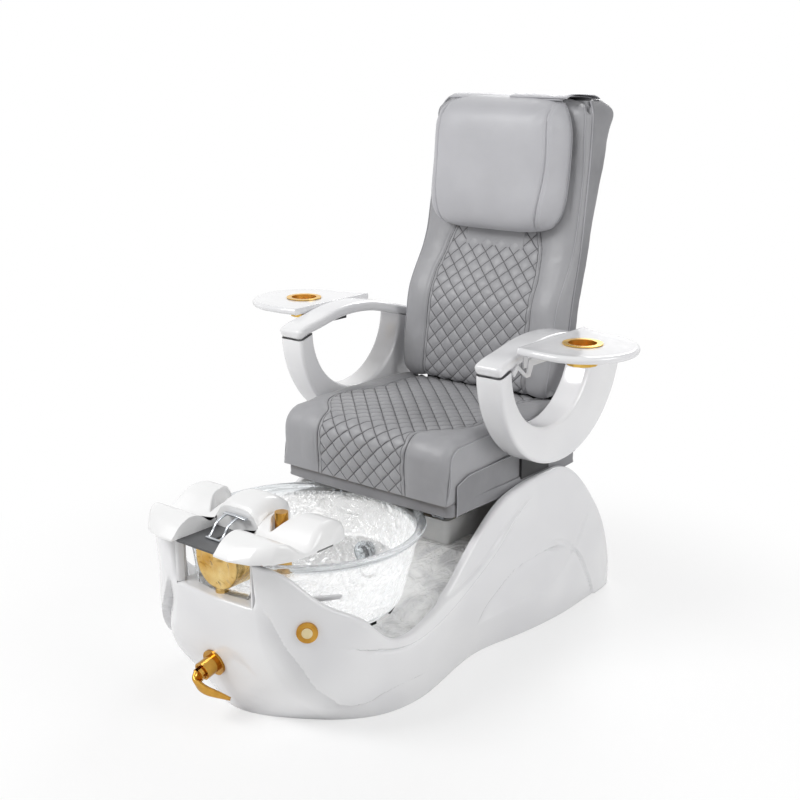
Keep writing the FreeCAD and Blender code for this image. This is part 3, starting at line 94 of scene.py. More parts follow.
def blank(name):
    """A new material: itself, its nodes, its surface shader and the piece's own coordinates."""
    mat = bpy.data.materials.new(name)
    mat.use_nodes = True
    tree = mat.node_tree
    return mat, tree, tree.nodes["Principled BSDF"], add(tree, "ShaderNodeTexCoord").outputs["Object"]


def leather(name, pale, deep, grain_mm=1.6):
    """Upholstery polyurethane leather, embossed with a pebble grain: a soft satin face that catches light on each
    pebble, with shade in patches 143 mm wide and faint long creases 38.5 mm apart where the foam gives."""
    mat, tree, shader, spot = blank(name)
    pebble = add(tree, "ShaderNodeTexVoronoi", {"Vector": spot, "Scale": 1000 / grain_mm}, feature="F1")
    patches = add(tree, "ShaderNodeTexNoise", {"Vector": spot, "Scale": 1000 / 143, "Detail": 3.0})
    creases = add(tree, "ShaderNodeTexNoise", {"Vector": spot, "Scale": 1000 / 38.5, "Detail": 4.0,
                                               "Distortion": 1.4})
    tint = add(tree, "ShaderNodeValToRGB", {"Fac": patches}, [(0.35, deep), (0.62, pale)])
    worn = add(tree, "ShaderNodeValToRGB", {"Fac": creases}, [(0.3, 0.40), (0.7, 0.50)])
    fold = add(tree, "ShaderNodeBump", {"Height": creases, "Strength": 0.10, "Distance": 0.004})
    skin = add(tree, "ShaderNodeBump", {"Height": pebble, "Strength": 0.16, "Distance": 0.0004, "Normal": fold})
    join(tree, shader, {"Base Color": tint, "Roughness": worn, "Normal": skin, "Sheen Weight": 0.12,
                        "Specular IOR Level": 0.45})
    return mat


def quilted(name, pale, deep, pitch_mm):
    """The same hide, quilted: thread lines sink into the foam along diamonds of the stated pitch, inside the panel
    that the mesh marks; a double row of stitching, 10 mm apart, closes the panel's edge. Painted shade darkens the
    base colour along the sunk lines and both rows of stitching."""
    mat = leather(name, pale, deep)
    tree = mat.node_tree
    shader = tree.nodes["Principled BSDF"]
    tint, skin = (shader.inputs[slot].links[0].from_socket for slot in ("Base Color", "Normal"))
    marks = add(tree, "ShaderNodeAttribute", attribute_name="quilt")
    spot = add(tree, "ShaderNodeSeparateXYZ", {"Vector": marks.outputs["Vector"]}).outputs
    diagonals = []
    for slant in ("ADD", "SUBTRACT"):
        way = add(tree, "ShaderNodeMath", {0: spot["X"], 1: spot["Y"]}, operation=slant)
        count = add(tree, "ShaderNodeMath", {0: way, 1: pitch_mm}, operation="DIVIDE")
        diagonals.append(add(tree, "ShaderNodeMath", {0: count, 1: 0.5}, operation="PINGPONG"))
    near = add(tree, "ShaderNodeMath", {0: diagonals[0], 1: diagonals[1]}, operation="MINIMUM")
    gap = add(tree, "ShaderNodeMath", {0: near, 1: pitch_mm / math.sqrt(2)}, operation="MULTIPLY")
    dip = add(tree, "ShaderNodeMapRange", {"Value": gap, "From Max": 2.6}, interpolation_type="SMOOTHSTEP")
    outside = add(tree, "ShaderNodeMapRange", {"Value": spot["Z"], "From Min": 11.0, "From Max": 12.0, "To Min": 1.0,
                                               "To Max": 0.0})
    height = add(tree, "ShaderNodeMath", {0: dip, 1: outside}, operation="MAXIMUM")
    for row_mm, width_mm in ((0.0, 2.4), (10.0, 1.8)):
        shift = add(tree, "ShaderNodeMath", {0: spot["Z"], 1: row_mm}, operation="SUBTRACT")
        away = add(tree, "ShaderNodeMath", {0: shift}, operation="ABSOLUTE")
        dip = add(tree, "ShaderNodeMapRange", {"Value": away, "From Max": width_mm}, interpolation_type="SMOOTHSTEP")
        height = add(tree, "ShaderNodeMath", {0: height, 1: dip}, operation="MINIMUM")
    # painted shade: the base colour darkens to a third along the sunk lines and both rows of stitching
    painted_groove_shade = add(tree, "ShaderNodeValToRGB", {"Fac": height}, [(0.0, 0.34), (0.7, 1.0)])
    tint_with_painted_shade = add(tree, "ShaderNodeMix", {"Factor": 1.0, "A": tint, "B": painted_groove_shade}, data_type="RGBA", blend_type="MULTIPLY")
    sunk = add(tree, "ShaderNodeBump", {"Height": height, "Strength": 0.7, "Distance": 0.003, "Normal": skin})
    join(tree, shader, {"Base Color": tint_with_painted_shade.outputs["Result"], "Normal": sunk})
    return mat


def gelcoat(name, pale, deep, rough=0.16):
    """Fibreglass moulding under a polished gelcoat: deep wet gloss, with the slow waviness of a moulded skin, 200 mm
    from crest to crest, and dust marks 16.7 mm apart."""
    mat, tree, shader, spot = blank(name)
    wave = add(tree, "ShaderNodeTexNoise", {"Vector": spot, "Scale": 1000 / 200, "Detail": 1.0})
    dust = add(tree, "ShaderNodeTexNoise", {"Vector": spot, "Scale": 1000 / 16.7, "Detail": 5.0})
    tint = add(tree, "ShaderNodeValToRGB", {"Fac": wave}, [(0.35, deep), (0.65, pale)])
    gloss = add(tree, "ShaderNodeValToRGB", {"Fac": dust}, [(0.4, rough), (0.7, rough * 1.5)])
    bump = add(tree, "ShaderNodeBump", {"Height": wave, "Strength": 0.05, "Distance": 0.01})
    join(tree, shader, {"Base Color": tint, "Roughness": gloss, "Normal": bump, "Coat Weight": 0.5,
                        "Coat Roughness": 0.05})
    return mat


def plated(name, pale, deep, rough, brush=0.0, dents=0.0):
    """Electroplated metal: mirror gloss with fine polishing marks 1.1 mm apart, a touch duller in hand-sized smears;
    dents are the broad hollows, 29.4 mm wide, that a dressed casting keeps."""
    mat, tree, shader, spot = blank(name)
    smear = add(tree, "ShaderNodeTexNoise", {"Vector": spot, "Scale": 1000 / 55.5, "Detail": 4.0})
    lines = add(tree, "ShaderNodeTexNoise", {"Vector": spot, "Scale": 1000 / 1.11, "Detail": 2.0})
    hollow = add(tree, "ShaderNodeTexNoise", {"Vector": spot, "Scale": 1000 / 29.4, "Detail": 1.0, "Distortion": 0.6})
    tint = add(tree, "ShaderNodeValToRGB", {"Fac": smear}, [(0.3, deep), (0.7, pale)])
    gloss = add(tree, "ShaderNodeValToRGB", {"Fac": smear}, [(0.35, rough), (0.75, rough * 1.9)])
    broad = add(tree, "ShaderNodeBump", {"Height": hollow, "Strength": dents, "Distance": 0.02})
    bump = add(tree, "ShaderNodeBump", {"Height": lines, "Strength": 0.02 + brush, "Distance": 0.0003,
                                        "Normal": broad})
    join(tree, shader, {"Base Color": tint, "Roughness": gloss, "Normal": bump, "Metallic": 1.0})
    return mat


def moulded(name, pale, deep, rough, grit_mm=0.8, strength=0.1):
    """Moulded, cast or coated stock: an even colour with a fine spark-eroded or powder grain."""
    mat, tree, shader, spot = blank(name)
    grit = add(tree, "ShaderNodeTexNoise", {"Vector": spot, "Scale": 1000 / grit_mm, "Detail": 2.0})
    patches = add(tree, "ShaderNodeTexNoise", {"Vector": spot, "Scale": 1000 / 83.3, "Detail": 2.0})
    tint = add(tree, "ShaderNodeValToRGB", {"Fac": patches}, [(0.35, deep), (0.65, pale)])
    bump = add(tree, "ShaderNodeBump", {"Height": grit, "Strength": strength, "Distance": 0.0005})
    join(tree, shader, {"Base Color": tint, "Roughness": rough, "Normal": bump})
    return mat


def plywood(name):
    """Birch plywood, sawn and sanded: pale long grain, 8 mm from vein to vein across the sheet."""
    mat, tree, shader, spot = blank(name)
    long_way = add(tree, "ShaderNodeMapping", {"Vector": spot, "Scale": (1.0, 14.0, 60.0)})
    grain = add(tree, "ShaderNodeTexNoise", {"Vector": long_way, "Scale": 9.0, "Detail": 5.0})
    tint = add(tree, "ShaderNodeValToRGB", {"Fac": grain}, [(0.35, "#8C6A42"), (0.65, "#C8A878")])
    join(tree, shader, {"Base Color": tint, "Roughness": 0.7})
    return mat


def crackled_resin(name, clear, edge, rough, depth, ridge_mm, through, glow):
    """Clear cast resin with a hammered, crinkled face whose ridges catch highlights through the bump; the resin looks
    greyer edge on, and a faint painted glow, white with grey streaks, stands in for the light that its core passes
    on."""
    mat, tree, shader, spot = blank(name)
    warp = add(tree, "ShaderNodeTexNoise", {"Vector": spot, "Scale": 600 / ridge_mm, "Detail": 2.0,
                                            "Distortion": 1.8})
    cells = add(tree, "ShaderNodeTexVoronoi", {"Vector": warp.outputs["Color"], "Scale": 7.0}, feature="SMOOTH_F1")
    fine = add(tree, "ShaderNodeTexNoise", {"Vector": spot, "Scale": 2200 / ridge_mm, "Detail": 3.0,
                                            "Distortion": 2.2})
    height = add(tree, "ShaderNodeMath", {0: cells, 1: fine}, operation="ADD")
    bump = add(tree, "ShaderNodeBump", {"Height": height, "Strength": depth, "Distance": 0.012})
    facing = add(tree, "ShaderNodeLayerWeight", {"Blend": 0.35, "Normal": bump}).outputs["Facing"]
    tint = add(tree, "ShaderNodeValToRGB", {"Fac": facing}, [(0.15, clear), (0.95, edge)])
    # painted glow: white with grey streaks over the crinkles, sent out as emission though the resin is no lamp
    painted_glow_streaks = add(tree, "ShaderNodeValToRGB", {"Fac": height}, [(0.45, "#A0A0A2"), (0.75, 1.0)])
    join(tree, shader, {"Base Color": tint, "Normal": bump, "Roughness": rough, "IOR": 1.49,
                        "Transmission Weight": through, "Emission Color": painted_glow_streaks, "Emission Strength": glow})
    return mat


def pearl_sheet(name):
    """Vacuum-formed marbled acrylic with a crinkled gloss: white with pale grey veins 111 mm apart and sharp small
    highlights on crinkles 62.5 mm apart."""
    mat, tree, shader, spot = blank(name)
    crinkle = add(tree, "ShaderNodeTexNoise", {"Vector": spot, "Scale": 1000 / 62.5, "Detail": 4.0,
                                               "Distortion": 2.6})
    veins = add(tree, "ShaderNodeTexNoise", {"Vector": spot, "Scale": 1000 / 111, "Detail": 6.0, "Distortion": 1.2})
    tint = add(tree, "ShaderNodeValToRGB", {"Fac": veins}, [(0.36, "#D9D9DA"), (0.56, "#F4F4F3")])
    bump = add(tree, "ShaderNodeBump", {"Height": crinkle, "Strength": 0.75, "Distance": 0.02})
    join(tree, shader, {"Base Color": tint, "Normal": bump, "Roughness": 0.12, "Coat Weight": 0.6})
    return mat


finishes = {}


def make_finishes(look):
    """Every finish of the chair, by name; three of its colours and the quilting's pitch can be changed."""
    seat, white, gold = (tuple(colour) + (1.0,) for colour in (look.seat_pale, look.white_pale, look.gold_pale))
    finishes.update(
        # embossed polyurethane leather, mid grey, quilted in diamonds: satin, with painted shade darkening its
        # stitched lines
        quilted_leather=quilted("Polyurethane_leather_quilted", seat, "#99999C", look.quilt_pitch * 1000),
        # the same hide a shade lighter, on the pillow
        pillow_leather=leather("Polyurethane_leather_light_grey", "#BCBCC0", "#B6B6BA"),
        # the same hide on the back of the chair and the aprons
        shell_leather=leather("Polyurethane_leather_dark_grey", "#8C8C8F", "#7F7F82"),
        # twisted polyester piping and thread, slightly paler than the hide
        piping=leather("Polyurethane_piping_pale", "#ABABAF", "#9C9CA0", 0.9),
        # polished gelcoat on fibreglass: the base, arms and trays
        white=gelcoat("Gelcoat_fibreglass_white", white, "#E4E4E6"),
        # vinyl skinned foam of the footrest, dead white and less glossy
        foot_white=gelcoat("Vinyl_skin_white", "#F4F4F4", "#ECECEC", 0.3),
        # clear cast resin, crinkled: the bowl, with a faint painted glow in streaks
        crystal=crackled_resin("Cast_resin_clear_crinkled", "#FFFFFF", "#E4E8EB", 0.02, 0.8, 83.3, 0.8, 0.16),
        # clear moulded styrene: jet housing and cover
        clear=crackled_resin("Styrene_clear_moulded", "#F6F9FB", "#8D959C", 0.04, 0.05, 33.3, 0.93, 0.0),
        # marbled acrylic: the deck round the bowl
        pearl=pearl_sheet("Marbled_acrylic_sheet"),
        # gold electroplate over brass, polished
        gold=plated("Gold_plate_polished", gold, "#A8742A", 0.10),
        # the same plate over a cast, hand-dressed spout: broad soft dents
        gold_cast=plated("Gold_plate_on_casting", "#E6CC8E", "#C09244", 0.14, dents=0.5),
        # the same plate painted brighter in the tray cups, as painted light on their insides
        gold_cup=plated("Gold_plate_painted_brighter", "#F4CE70", "#E0AE48", 0.24),
        # pale champagne gold plate of the air button
        gold_pale=plated("Gold_plate_champagne", "#E9DBB4", "#C9B380", 0.12),
        # bright chromium plate
        chrome=plated("Chromium_plate_bright", "#D5D8DC", "#A9ADB3", 0.06),
        # zinc-plated steel: rods, bolts, rails
        zinc=plated("Zinc_plated_steel", "#B9BCC0", "#8E9196", 0.32, 0.05),
        # turned brass of the water fittings
        brass=plated("Turned_brass", "#C9A25A", "#9C7634", 0.28, 0.08),
        # satin black powder coat on welded steel
        powder=moulded("Powder_coated_steel_black", "#2B2B2D", "#202022", 0.45, 1.2, 0.2),
        # dark grey coated plate under the footrest
        plate=moulded("Painted_steel_dark_grey", "#5A5B5D", "#4C4D4F", 0.35, 1.0, 0.08),
        # moulded black nylon: motors, housings
        nylon=moulded("Moulded_nylon_black", "#242426", "#1B1B1D", 0.5),
        # moulded grey polypropylene: riser, carriages, pipework
        poly=moulded("Moulded_polypropylene_pale", "#C9C9C8", "#B8B8B7", 0.42),
        # moulded black rubber: feet, seals
        rubber=moulded("Moulded_rubber_black", "#1D1D1E", "#141415", 0.75, 0.9, 0.2),
        # birch plywood: the seat board
        ply=plywood("Birch_plywood_sanded"),
    )


# Curves and meshes, in millimetres
def bend_of(knots, values, closed):
    """Second derivatives of the cubic through values at knots, natural or periodic."""
    count = len(knots)
    gaps = np.diff(knots)
    square, right = np.zeros((count, count)), np.zeros((count,) + values.shape[1:])
    slopes = np.diff(values, axis=0) / gaps[:, None]
    for i in range(1, count - 1):
        square[i, i - 1 : i + 2] = gaps[i - 1] / 6, (gaps[i - 1] + gaps[i]) / 3, gaps[i] / 6
        right[i] = slopes[i] - slopes[i - 1]
    if closed:
        square[0, 0], square[0, 1] = (gaps[-1] + gaps[0]) / 3, gaps[0] / 6
        square[0, -2] += gaps[-1] / 6
        right[0] = slopes[0] - slopes[-1]
        square[-1, 0], square[-1, -1] = 1, -1
    else:
        square[0, 0] = square[-1, -1] = 1
    return np.linalg.solve(square, right)


def cubic_at(knots, values, bend, places, *own):
    """The cubic through values at knots, read at places; own picks out each place's own column of the values."""
    i = np.clip(np.searchsorted(knots, places, side="right") - 1, 0, len(knots) - 2)
    low, high = (i,) + own, (i + 1,) + own
    gap = (knots[i + 1] - knots[i])[..., None]
    b = (places - knots[i])[..., None] / gap
    a = 1 - b
    return a * values[low] + b * values[high] + ((a**3 - a) * bend[low] + (b**3 - b) * bend[high]) * gap**2 / 6


def cubic(knots, values, places, closed=False):
    """The cubic through values at knots, all read at the same places."""
    knots, values, places = np.asarray(knots, float), np.asarray(values, float), np.asarray(places, float)
    if values.ndim == 1:
        return cubic(knots, values[:, None], places, closed)[..., 0]
    return cubic_at(knots, values, bend_of(knots, values, closed), places)


def run_of(points):
    """The length run so far at each point of a line."""
    return np.r_[0, np.cumsum(np.linalg.norm(np.diff(points, axis=0), axis=1))]


def unit(ways):
    """Vectors brought to length 1 along the last axis."""
    return ways / np.linalg.norm(ways, axis=-1, keepdims=True)


def shut(points):
    """A ring of points with its first one set again at its end."""
    return np.vstack([points, points[:1]])


def along(points, places, closed=False):
    """Points on the curve through the given ones, at places from 0 to 1 of its length."""
    points = np.asarray(shut(points) if closed else points, float)
    run = run_of(points)
    return cubic(run / run[-1], points, np.asarray(places), closed)


def rounded_loop(width, depth, bend, count):
    """A rounded rectangle about its middle, count points to a corner, from its right side anticlockwise."""
    reach, rise = width / 2 - bend, depth / 2 - bend
    spots = []
    for cx, cy, start in ((reach, rise, 0), (-reach, rise, 90), (-reach, -rise, 180), (reach, -rise, 270)):
        for a in np.radians(np.linspace(start, start + 90, count)):
            spots.append((cx + bend * math.cos(a), cy + bend * math.sin(a)))
    return np.array(spots)


def smoothstep(x, low, high):
    """0 below low, 1 above high, and a soft step between them."""
    t = np.clip((np.asarray(x, float) - low) / (high - low), 0, 1)
    return t * t * (3 - 2 * t)


def valley(distance, width):
    """A round-bottomed groove: 1 on its line and near 0 beyond two widths."""
    return np.exp(-((np.asarray(distance) / width) ** 2))


def grid_faces(rows, columns, start=0):
    """Quads of a grid of points stored row by row from a start."""
    r, c = np.meshgrid(np.arange(rows - 1), np.arange(columns - 1), indexing="ij")
    first = start + (r * columns + c).ravel()
    return np.stack([first, first + 1, first + columns + 1, first + columns], 1).tolist()


def mesh_piece(name, points, faces, finish, smooth=True, merge=0.0, turned=False, crease=None, marks=None):
    """An object from points in millimetres. Turned says that its faces already look outwards; marks gives each point
    its place on the quilting for the finish to read."""
    mesh = bpy.data.meshes.new(name)
    mesh.from_pydata((np.asarray(points, float) * MM).tolist(), [], faces)
    if marks is not None:
        quilt = mesh.attributes.new("quilt", "FLOAT_VECTOR", "POINT")
        quilt.data.foreach_set("vector", np.asarray(marks, np.float32).ravel())
    obj = bpy.data.objects.new(name, mesh)
    bpy.context.scene.collection.objects.link(obj)
    work = bmesh.new()
    work.from_mesh(mesh)
    if merge:
        bmesh.ops.remove_doubles(work, verts=work.verts, dist=merge * MM)
    if not turned:
        bmesh.ops.recalc_face_normals(work, faces=work.faces)
    work.to_mesh(mesh)
    work.free()
    mesh.materials.append(finishes[finish])
    if smooth:
        mesh.polygons.foreach_set("use_smooth", [True] * len(mesh.polygons))
    if crease:
        mesh.set_sharp_from_angle(angle=math.radians(crease))
    return obj


def grids_piece(name, grids, finish, merge=0.05, **options):
    """One object from several grids, each an array of rows, columns and x, y, z."""
    points, faces = [], []
    for grid in grids:
        grid = np.asarray(grid, float)
        rows, columns = grid.shape[:2]
        faces += grid_faces(rows, columns, sum(len(p) for p in points))
        points.append(grid.reshape(-1, 3))
    return mesh_piece(name, np.vstack(points), faces, finish, merge=merge, **options)


def other_side(grid):
    """A grid mirrored to the far side."""
    return np.asarray(grid) * np.array([-1, 1, 1])


def thickened(obj, thickness, offset):
    """Give an open sheet its thickness in metres, as part of its mesh."""
    layer = obj.modifiers.new("thickness", "SOLIDIFY")
    layer.thickness, layer.offset = thickness, offset
    obj.data = bpy.data.meshes.new_from_object(obj.evaluated_get(bpy.context.evaluated_depsgraph_get()))
    obj.modifiers.clear()
    return obj


def tube(name, points, radius, finish):
    """A round cord of thread or piping along a line through points in millimetres."""
    points = np.asarray(points, float)
    curve = bpy.data.curves.new(name, "CURVE")
    curve.dimensions = "3D"
    spline = curve.splines.new("POLY")
    spline.points.add(len(points) - 1)
    spline.points.foreach_set("co", np.c_[points * MM, np.ones(len(points))].ravel())
    curve.bevel_depth, curve.bevel_resolution, curve.use_fill_caps = radius * MM, 3, True
    core = bpy.data.objects.new(name, curve)
    bpy.context.scene.collection.objects.link(core)
    mesh = bpy.data.meshes.new_from_object(core.evaluated_get(bpy.context.evaluated_depsgraph_get()))
    made = bpy.data.objects.new(name, mesh)
    bpy.context.scene.collection.objects.link(made)
    bpy.data.objects.remove(core)
    mesh.materials.clear()
    mesh.materials.append(finishes[finish])
    mesh.polygons.foreach_set("use_smooth", [True] * len(mesh.polygons))
    return made


def place(obj, body, *stands_for):
    """Let a piece ride on a body and stand for CAD nodes."""
    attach(obj, body)
    if stands_for:
        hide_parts(*stands_for)
    return obj


# The base's form, in millimetres: plan outlines of one half at four levels, and the side view's upper edge
HULL_LEVELS = (-1, 120, 262, 430)
HULL_HALVES = (
    [(0, -540), (80, -520), (160, -474), (232, -420), (283, -358), (302, -280), (296, -190), (277, -80), (266, 49),
     (284, 150), (303, 270), (310, 380), (307, 500), (302, 590), (284, 638), (240, 650), (0, 654)],
    [(0, -577), (94, -574), (186, -560), (260, -510), (303, -420), (318, -305), (313, -200), (300, -90), (290, 40),
     (297, 150), (306, 270), (311, 380), (308, 500), (303, 590), (285, 638), (240, 650), (0, 654)],
    [(0, -601), (100, -596), (186, -582), (250, -540), (296, -464), (319, -350), (319, -240), (312, -120), (305, 20),
     (304, 150), (306, 270), (309, 380), (307, 500), (302, 590), (285, 638), (240, 650), (0, 654)],
    [(0, -616), (108, -612), (188, -596), (246, -554), (283, -482), (300, -376), (301, -260), (297, -120), (292, 20),
     (291, 150), (293, 270), (297, 380), (300, 500), (298, 590), (282, 638), (240, 650), (0, 654)],
)
TOP_EDGE = [(-700, 417), (-600, 409), (-552, 357), (-500, 311), (-440, 275), (-395, 229), (-350, 204), (-265, 208),
            (-160, 244), (-72, 307), (-8, 349), (66, 388), (118, 404), (184, 412), (308, 416), (368, 412), (444, 365),
            (506, 295), (571, 196), (613, 91), (639, 18), (644, -2)]
BOWL_Y = -297  # the bowl's middle
LEDGE_Z, LEDGE_HALF = 303, 122  # the ledge at the bow, between the pillars
RING_R, HOLE_R = 295, 261  # the rim's well round the bowl, and the hole in the ledge
CUT_Y = 402  # where the rim meets the stern's roof
DOOR_HALF, DOOR_LOW, DOOR_HIGH = 170, 60, 290  # the service opening in the stern


def hull_point(u, z):
    """The hull's outside at a share u of its outline (0 at the bow, 0.5 at the stern) and a height."""
    u, z = np.broadcast_arrays(np.asarray(u, float), np.asarray(z, float))
    rings = [along(half + [(-x, y) for x, y in half[-2:0:-1]], u.ravel(), closed=True) for half in HULL_HALVES]
    stack = np.stack(rings)
    levels = np.array(HULL_LEVELS, float)
    bend = bend_of(levels, stack.reshape(len(levels), -1), False).reshape(stack.shape)
    return cubic_at(levels, stack, bend, z.ravel(), np.arange(u.size)).reshape(u.shape + (2,))


EDGE_CURVE = along(TOP_EDGE, np.linspace(0, 1, 1200))


def top_at(y):
    """The side view's upper edge at a distance along the chair."""
    return np.interp(y, EDGE_CURVE[:, 0], EDGE_CURVE[:, 1])


def outline_share(x, z):
    """The share of the outline, near the bow, where the hull reaches a half width."""
    shares = np.linspace(0, 0.12, 240)
    return np.array([np.interp(x, hull_point(shares, np.full(240, level))[:, 0], shares) for level in np.ravel(z)])


def off_line(points, y, z):
    """Signed distance from a line in the side view, positive on its left, and the share of it at the nearest spot."""
    line = along(points, np.linspace(0, 1, 120))
    a, b = line[:-1], line[1:]
    run = b - a
    spot = np.stack([np.ravel(y), np.ravel(z)], -1)[:, None, :] - a[None]
    share = np.clip((spot * run).sum(-1) / (run * run).sum(-1), 0, 1)
    gap = spot - share[..., None] * run
    away = np.linalg.norm(gap, axis=-1)
    near = away.argmin(1)
    pick = np.arange(len(near))
    side = np.sign(run[near, 0] * spot[pick, near, 1] - run[near, 1] * spot[pick, near, 0])
    return (away[pick, near] * side).reshape(np.shape(y)), ((near + share[pick, near]) / len(a)).reshape(np.shape(y))


# Side view lines on the base's flank, (y, z)
BAND_LOW = [(-409, 195), (-320, 172), (-228, 176), (-143, 194), (-32, 235), (71, 288), (150, 342), (209, 365)]
BAND_TOP = [(-518, 319), (-487, 288), (-439, 261), (-355, 239), (-229, 232), (-145, 236), (-38, 259), (50, 302),
            (118, 341), (188, 368)]
LEAF_UPPER = [(6, 91), (39, 130), (86, 160), (123, 184), (186, 197), (274, 194), (343, 181), (404, 164)]
LEAF_LOWER = [(6, 91), (100, 92), (177, 98), (260, 95), (311, 108), (356, 125), (404, 158)]
BROW = [(296, 226), (352, 212), (403, 179)]
STERN_LINE = [(403, 179), (448, 135), (486, 78), (520, 15), (528, -6)]
# Lines that sweep down the bow, as (share of outline times 1000, height)
BOW_OUTER = [(42.4, 320), (49.4, 272), (58, 220), (66, 178), (72.7, 123), (80.4, 82), (89.4, 58), (100.4, 57),
             (113.1, 69), (131.1, 74), (158.8, 64)]
BOW_INNER = [(36, 314), (36.7, 255), (40, 197), (46.4, 159), (53, 102), (59.7, 56), (64.7, 21), (68, -4)]


def flank_relief(u, y, z):
    """How far the flank stands out from the smooth hull: rim band, leaf recess, stern panel and bow sweep."""
    # the band under the rim, with a crease along both its edges
    low, _ = off_line(BAND_LOW, y, z)
    top, _ = off_line(BAND_TOP, y, z)
    fade = smoothstep(y, -500, -400) * (1 - smoothstep(y, 130, 230))
    out = fade * (10.0 * smoothstep(low, -4, 8) - 5.0 * smoothstep(top, -5, 6) - 3.4 * valley(low + 3, 4.5)
                  - 2.0 * valley(top - 2, 3.5))
    # the leaf-shaped recess: deepest under its upper edge, which softens towards the stern
    upper, _ = off_line(LEAF_UPPER, y, z)
    lower, _ = off_line(LEAF_LOWER, y, z)
    leaf = (y > LEAF_UPPER[0][0]) & (y < LEAF_UPPER[-1][0])
    inside = (upper < 0) & (lower > 0) & leaf
    reach = np.where(inside, np.abs(lower) / (np.abs(lower) + np.abs(upper) + 0.1), 0)
    deep = 26 * smoothstep(y, 0, 120) * (1 - 0.8 * smoothstep(y, 300, 404))
    out -= np.where(inside, deep * reach**0.8, 0)
    soft = 4 + 30 * smoothstep(y, 180, 400)
    out -= np.where((upper >= 0) & leaf, deep * (1 - smoothstep(upper, 0, soft)), 0)
    # the short brow crease over it, then the stern's raised panel
    brow, share_b = off_line(BROW, y, z)
    near_brow = smoothstep(share_b, 0.0, 0.3) * (1 - smoothstep(share_b, 0.97, 1.0))
    out -= near_brow * 3.0 * valley(brow, 3.5)
    stern, share_s = off_line(STERN_LINE, y, z)
    ease = smoothstep(share_s, 0.0, 0.08)
    panel = 5.0 * smoothstep(stern, -2, 2) - 3.6 * valley(stern, 2.8)
    out += ease * panel * (1 - smoothstep(stern, 60, 200))
    # the hollow that sweeps down the bow
    a = np.asarray(u) * 1000
    outer, _ = off_line(BOW_OUTER, a, z)
    inner, _ = off_line(BOW_INNER, a, z)
    between = (outer < 0) & (inner > 0)
    depth = 26 * (1 - smoothstep(z, 215, 320)) * (1 - smoothstep(a, 100, 158))
    band = np.where(between, np.abs(inner) / (np.abs(inner) + np.abs(outer) + 0.1), 0)
    out -= np.where(between & (a < 159), depth * band**1.4, 0)
    return out


def drawn(u, z, inset=0.0):
    """Hull points with the flank's relief, moved inwards by an inset."""
    u, z = np.broadcast_arrays(np.asarray(u, float), np.asarray(z, float))
    here = hull_point(u, z)
    ahead, behind = hull_point(np.clip(u + 0.002, 0, 1), z), hull_point(u - 0.002, z)
    run = unit(ahead - behind)
    inward = np.stack([-run[..., 1], run[..., 0]], -1)
    move = np.asarray(inset, float) - flank_relief(u, here[..., 1], z)
    return np.concatenate([here + inward * move[..., None], z[..., None]], -1)


def ordered(values, *extra):
    """Rising values with extra ones set in, dropping those too near an extra one."""
    kept = [v for v in values if all(abs(v - e) > 0.0006 for e in extra)]
    return np.array(sorted(kept + list(extra)))


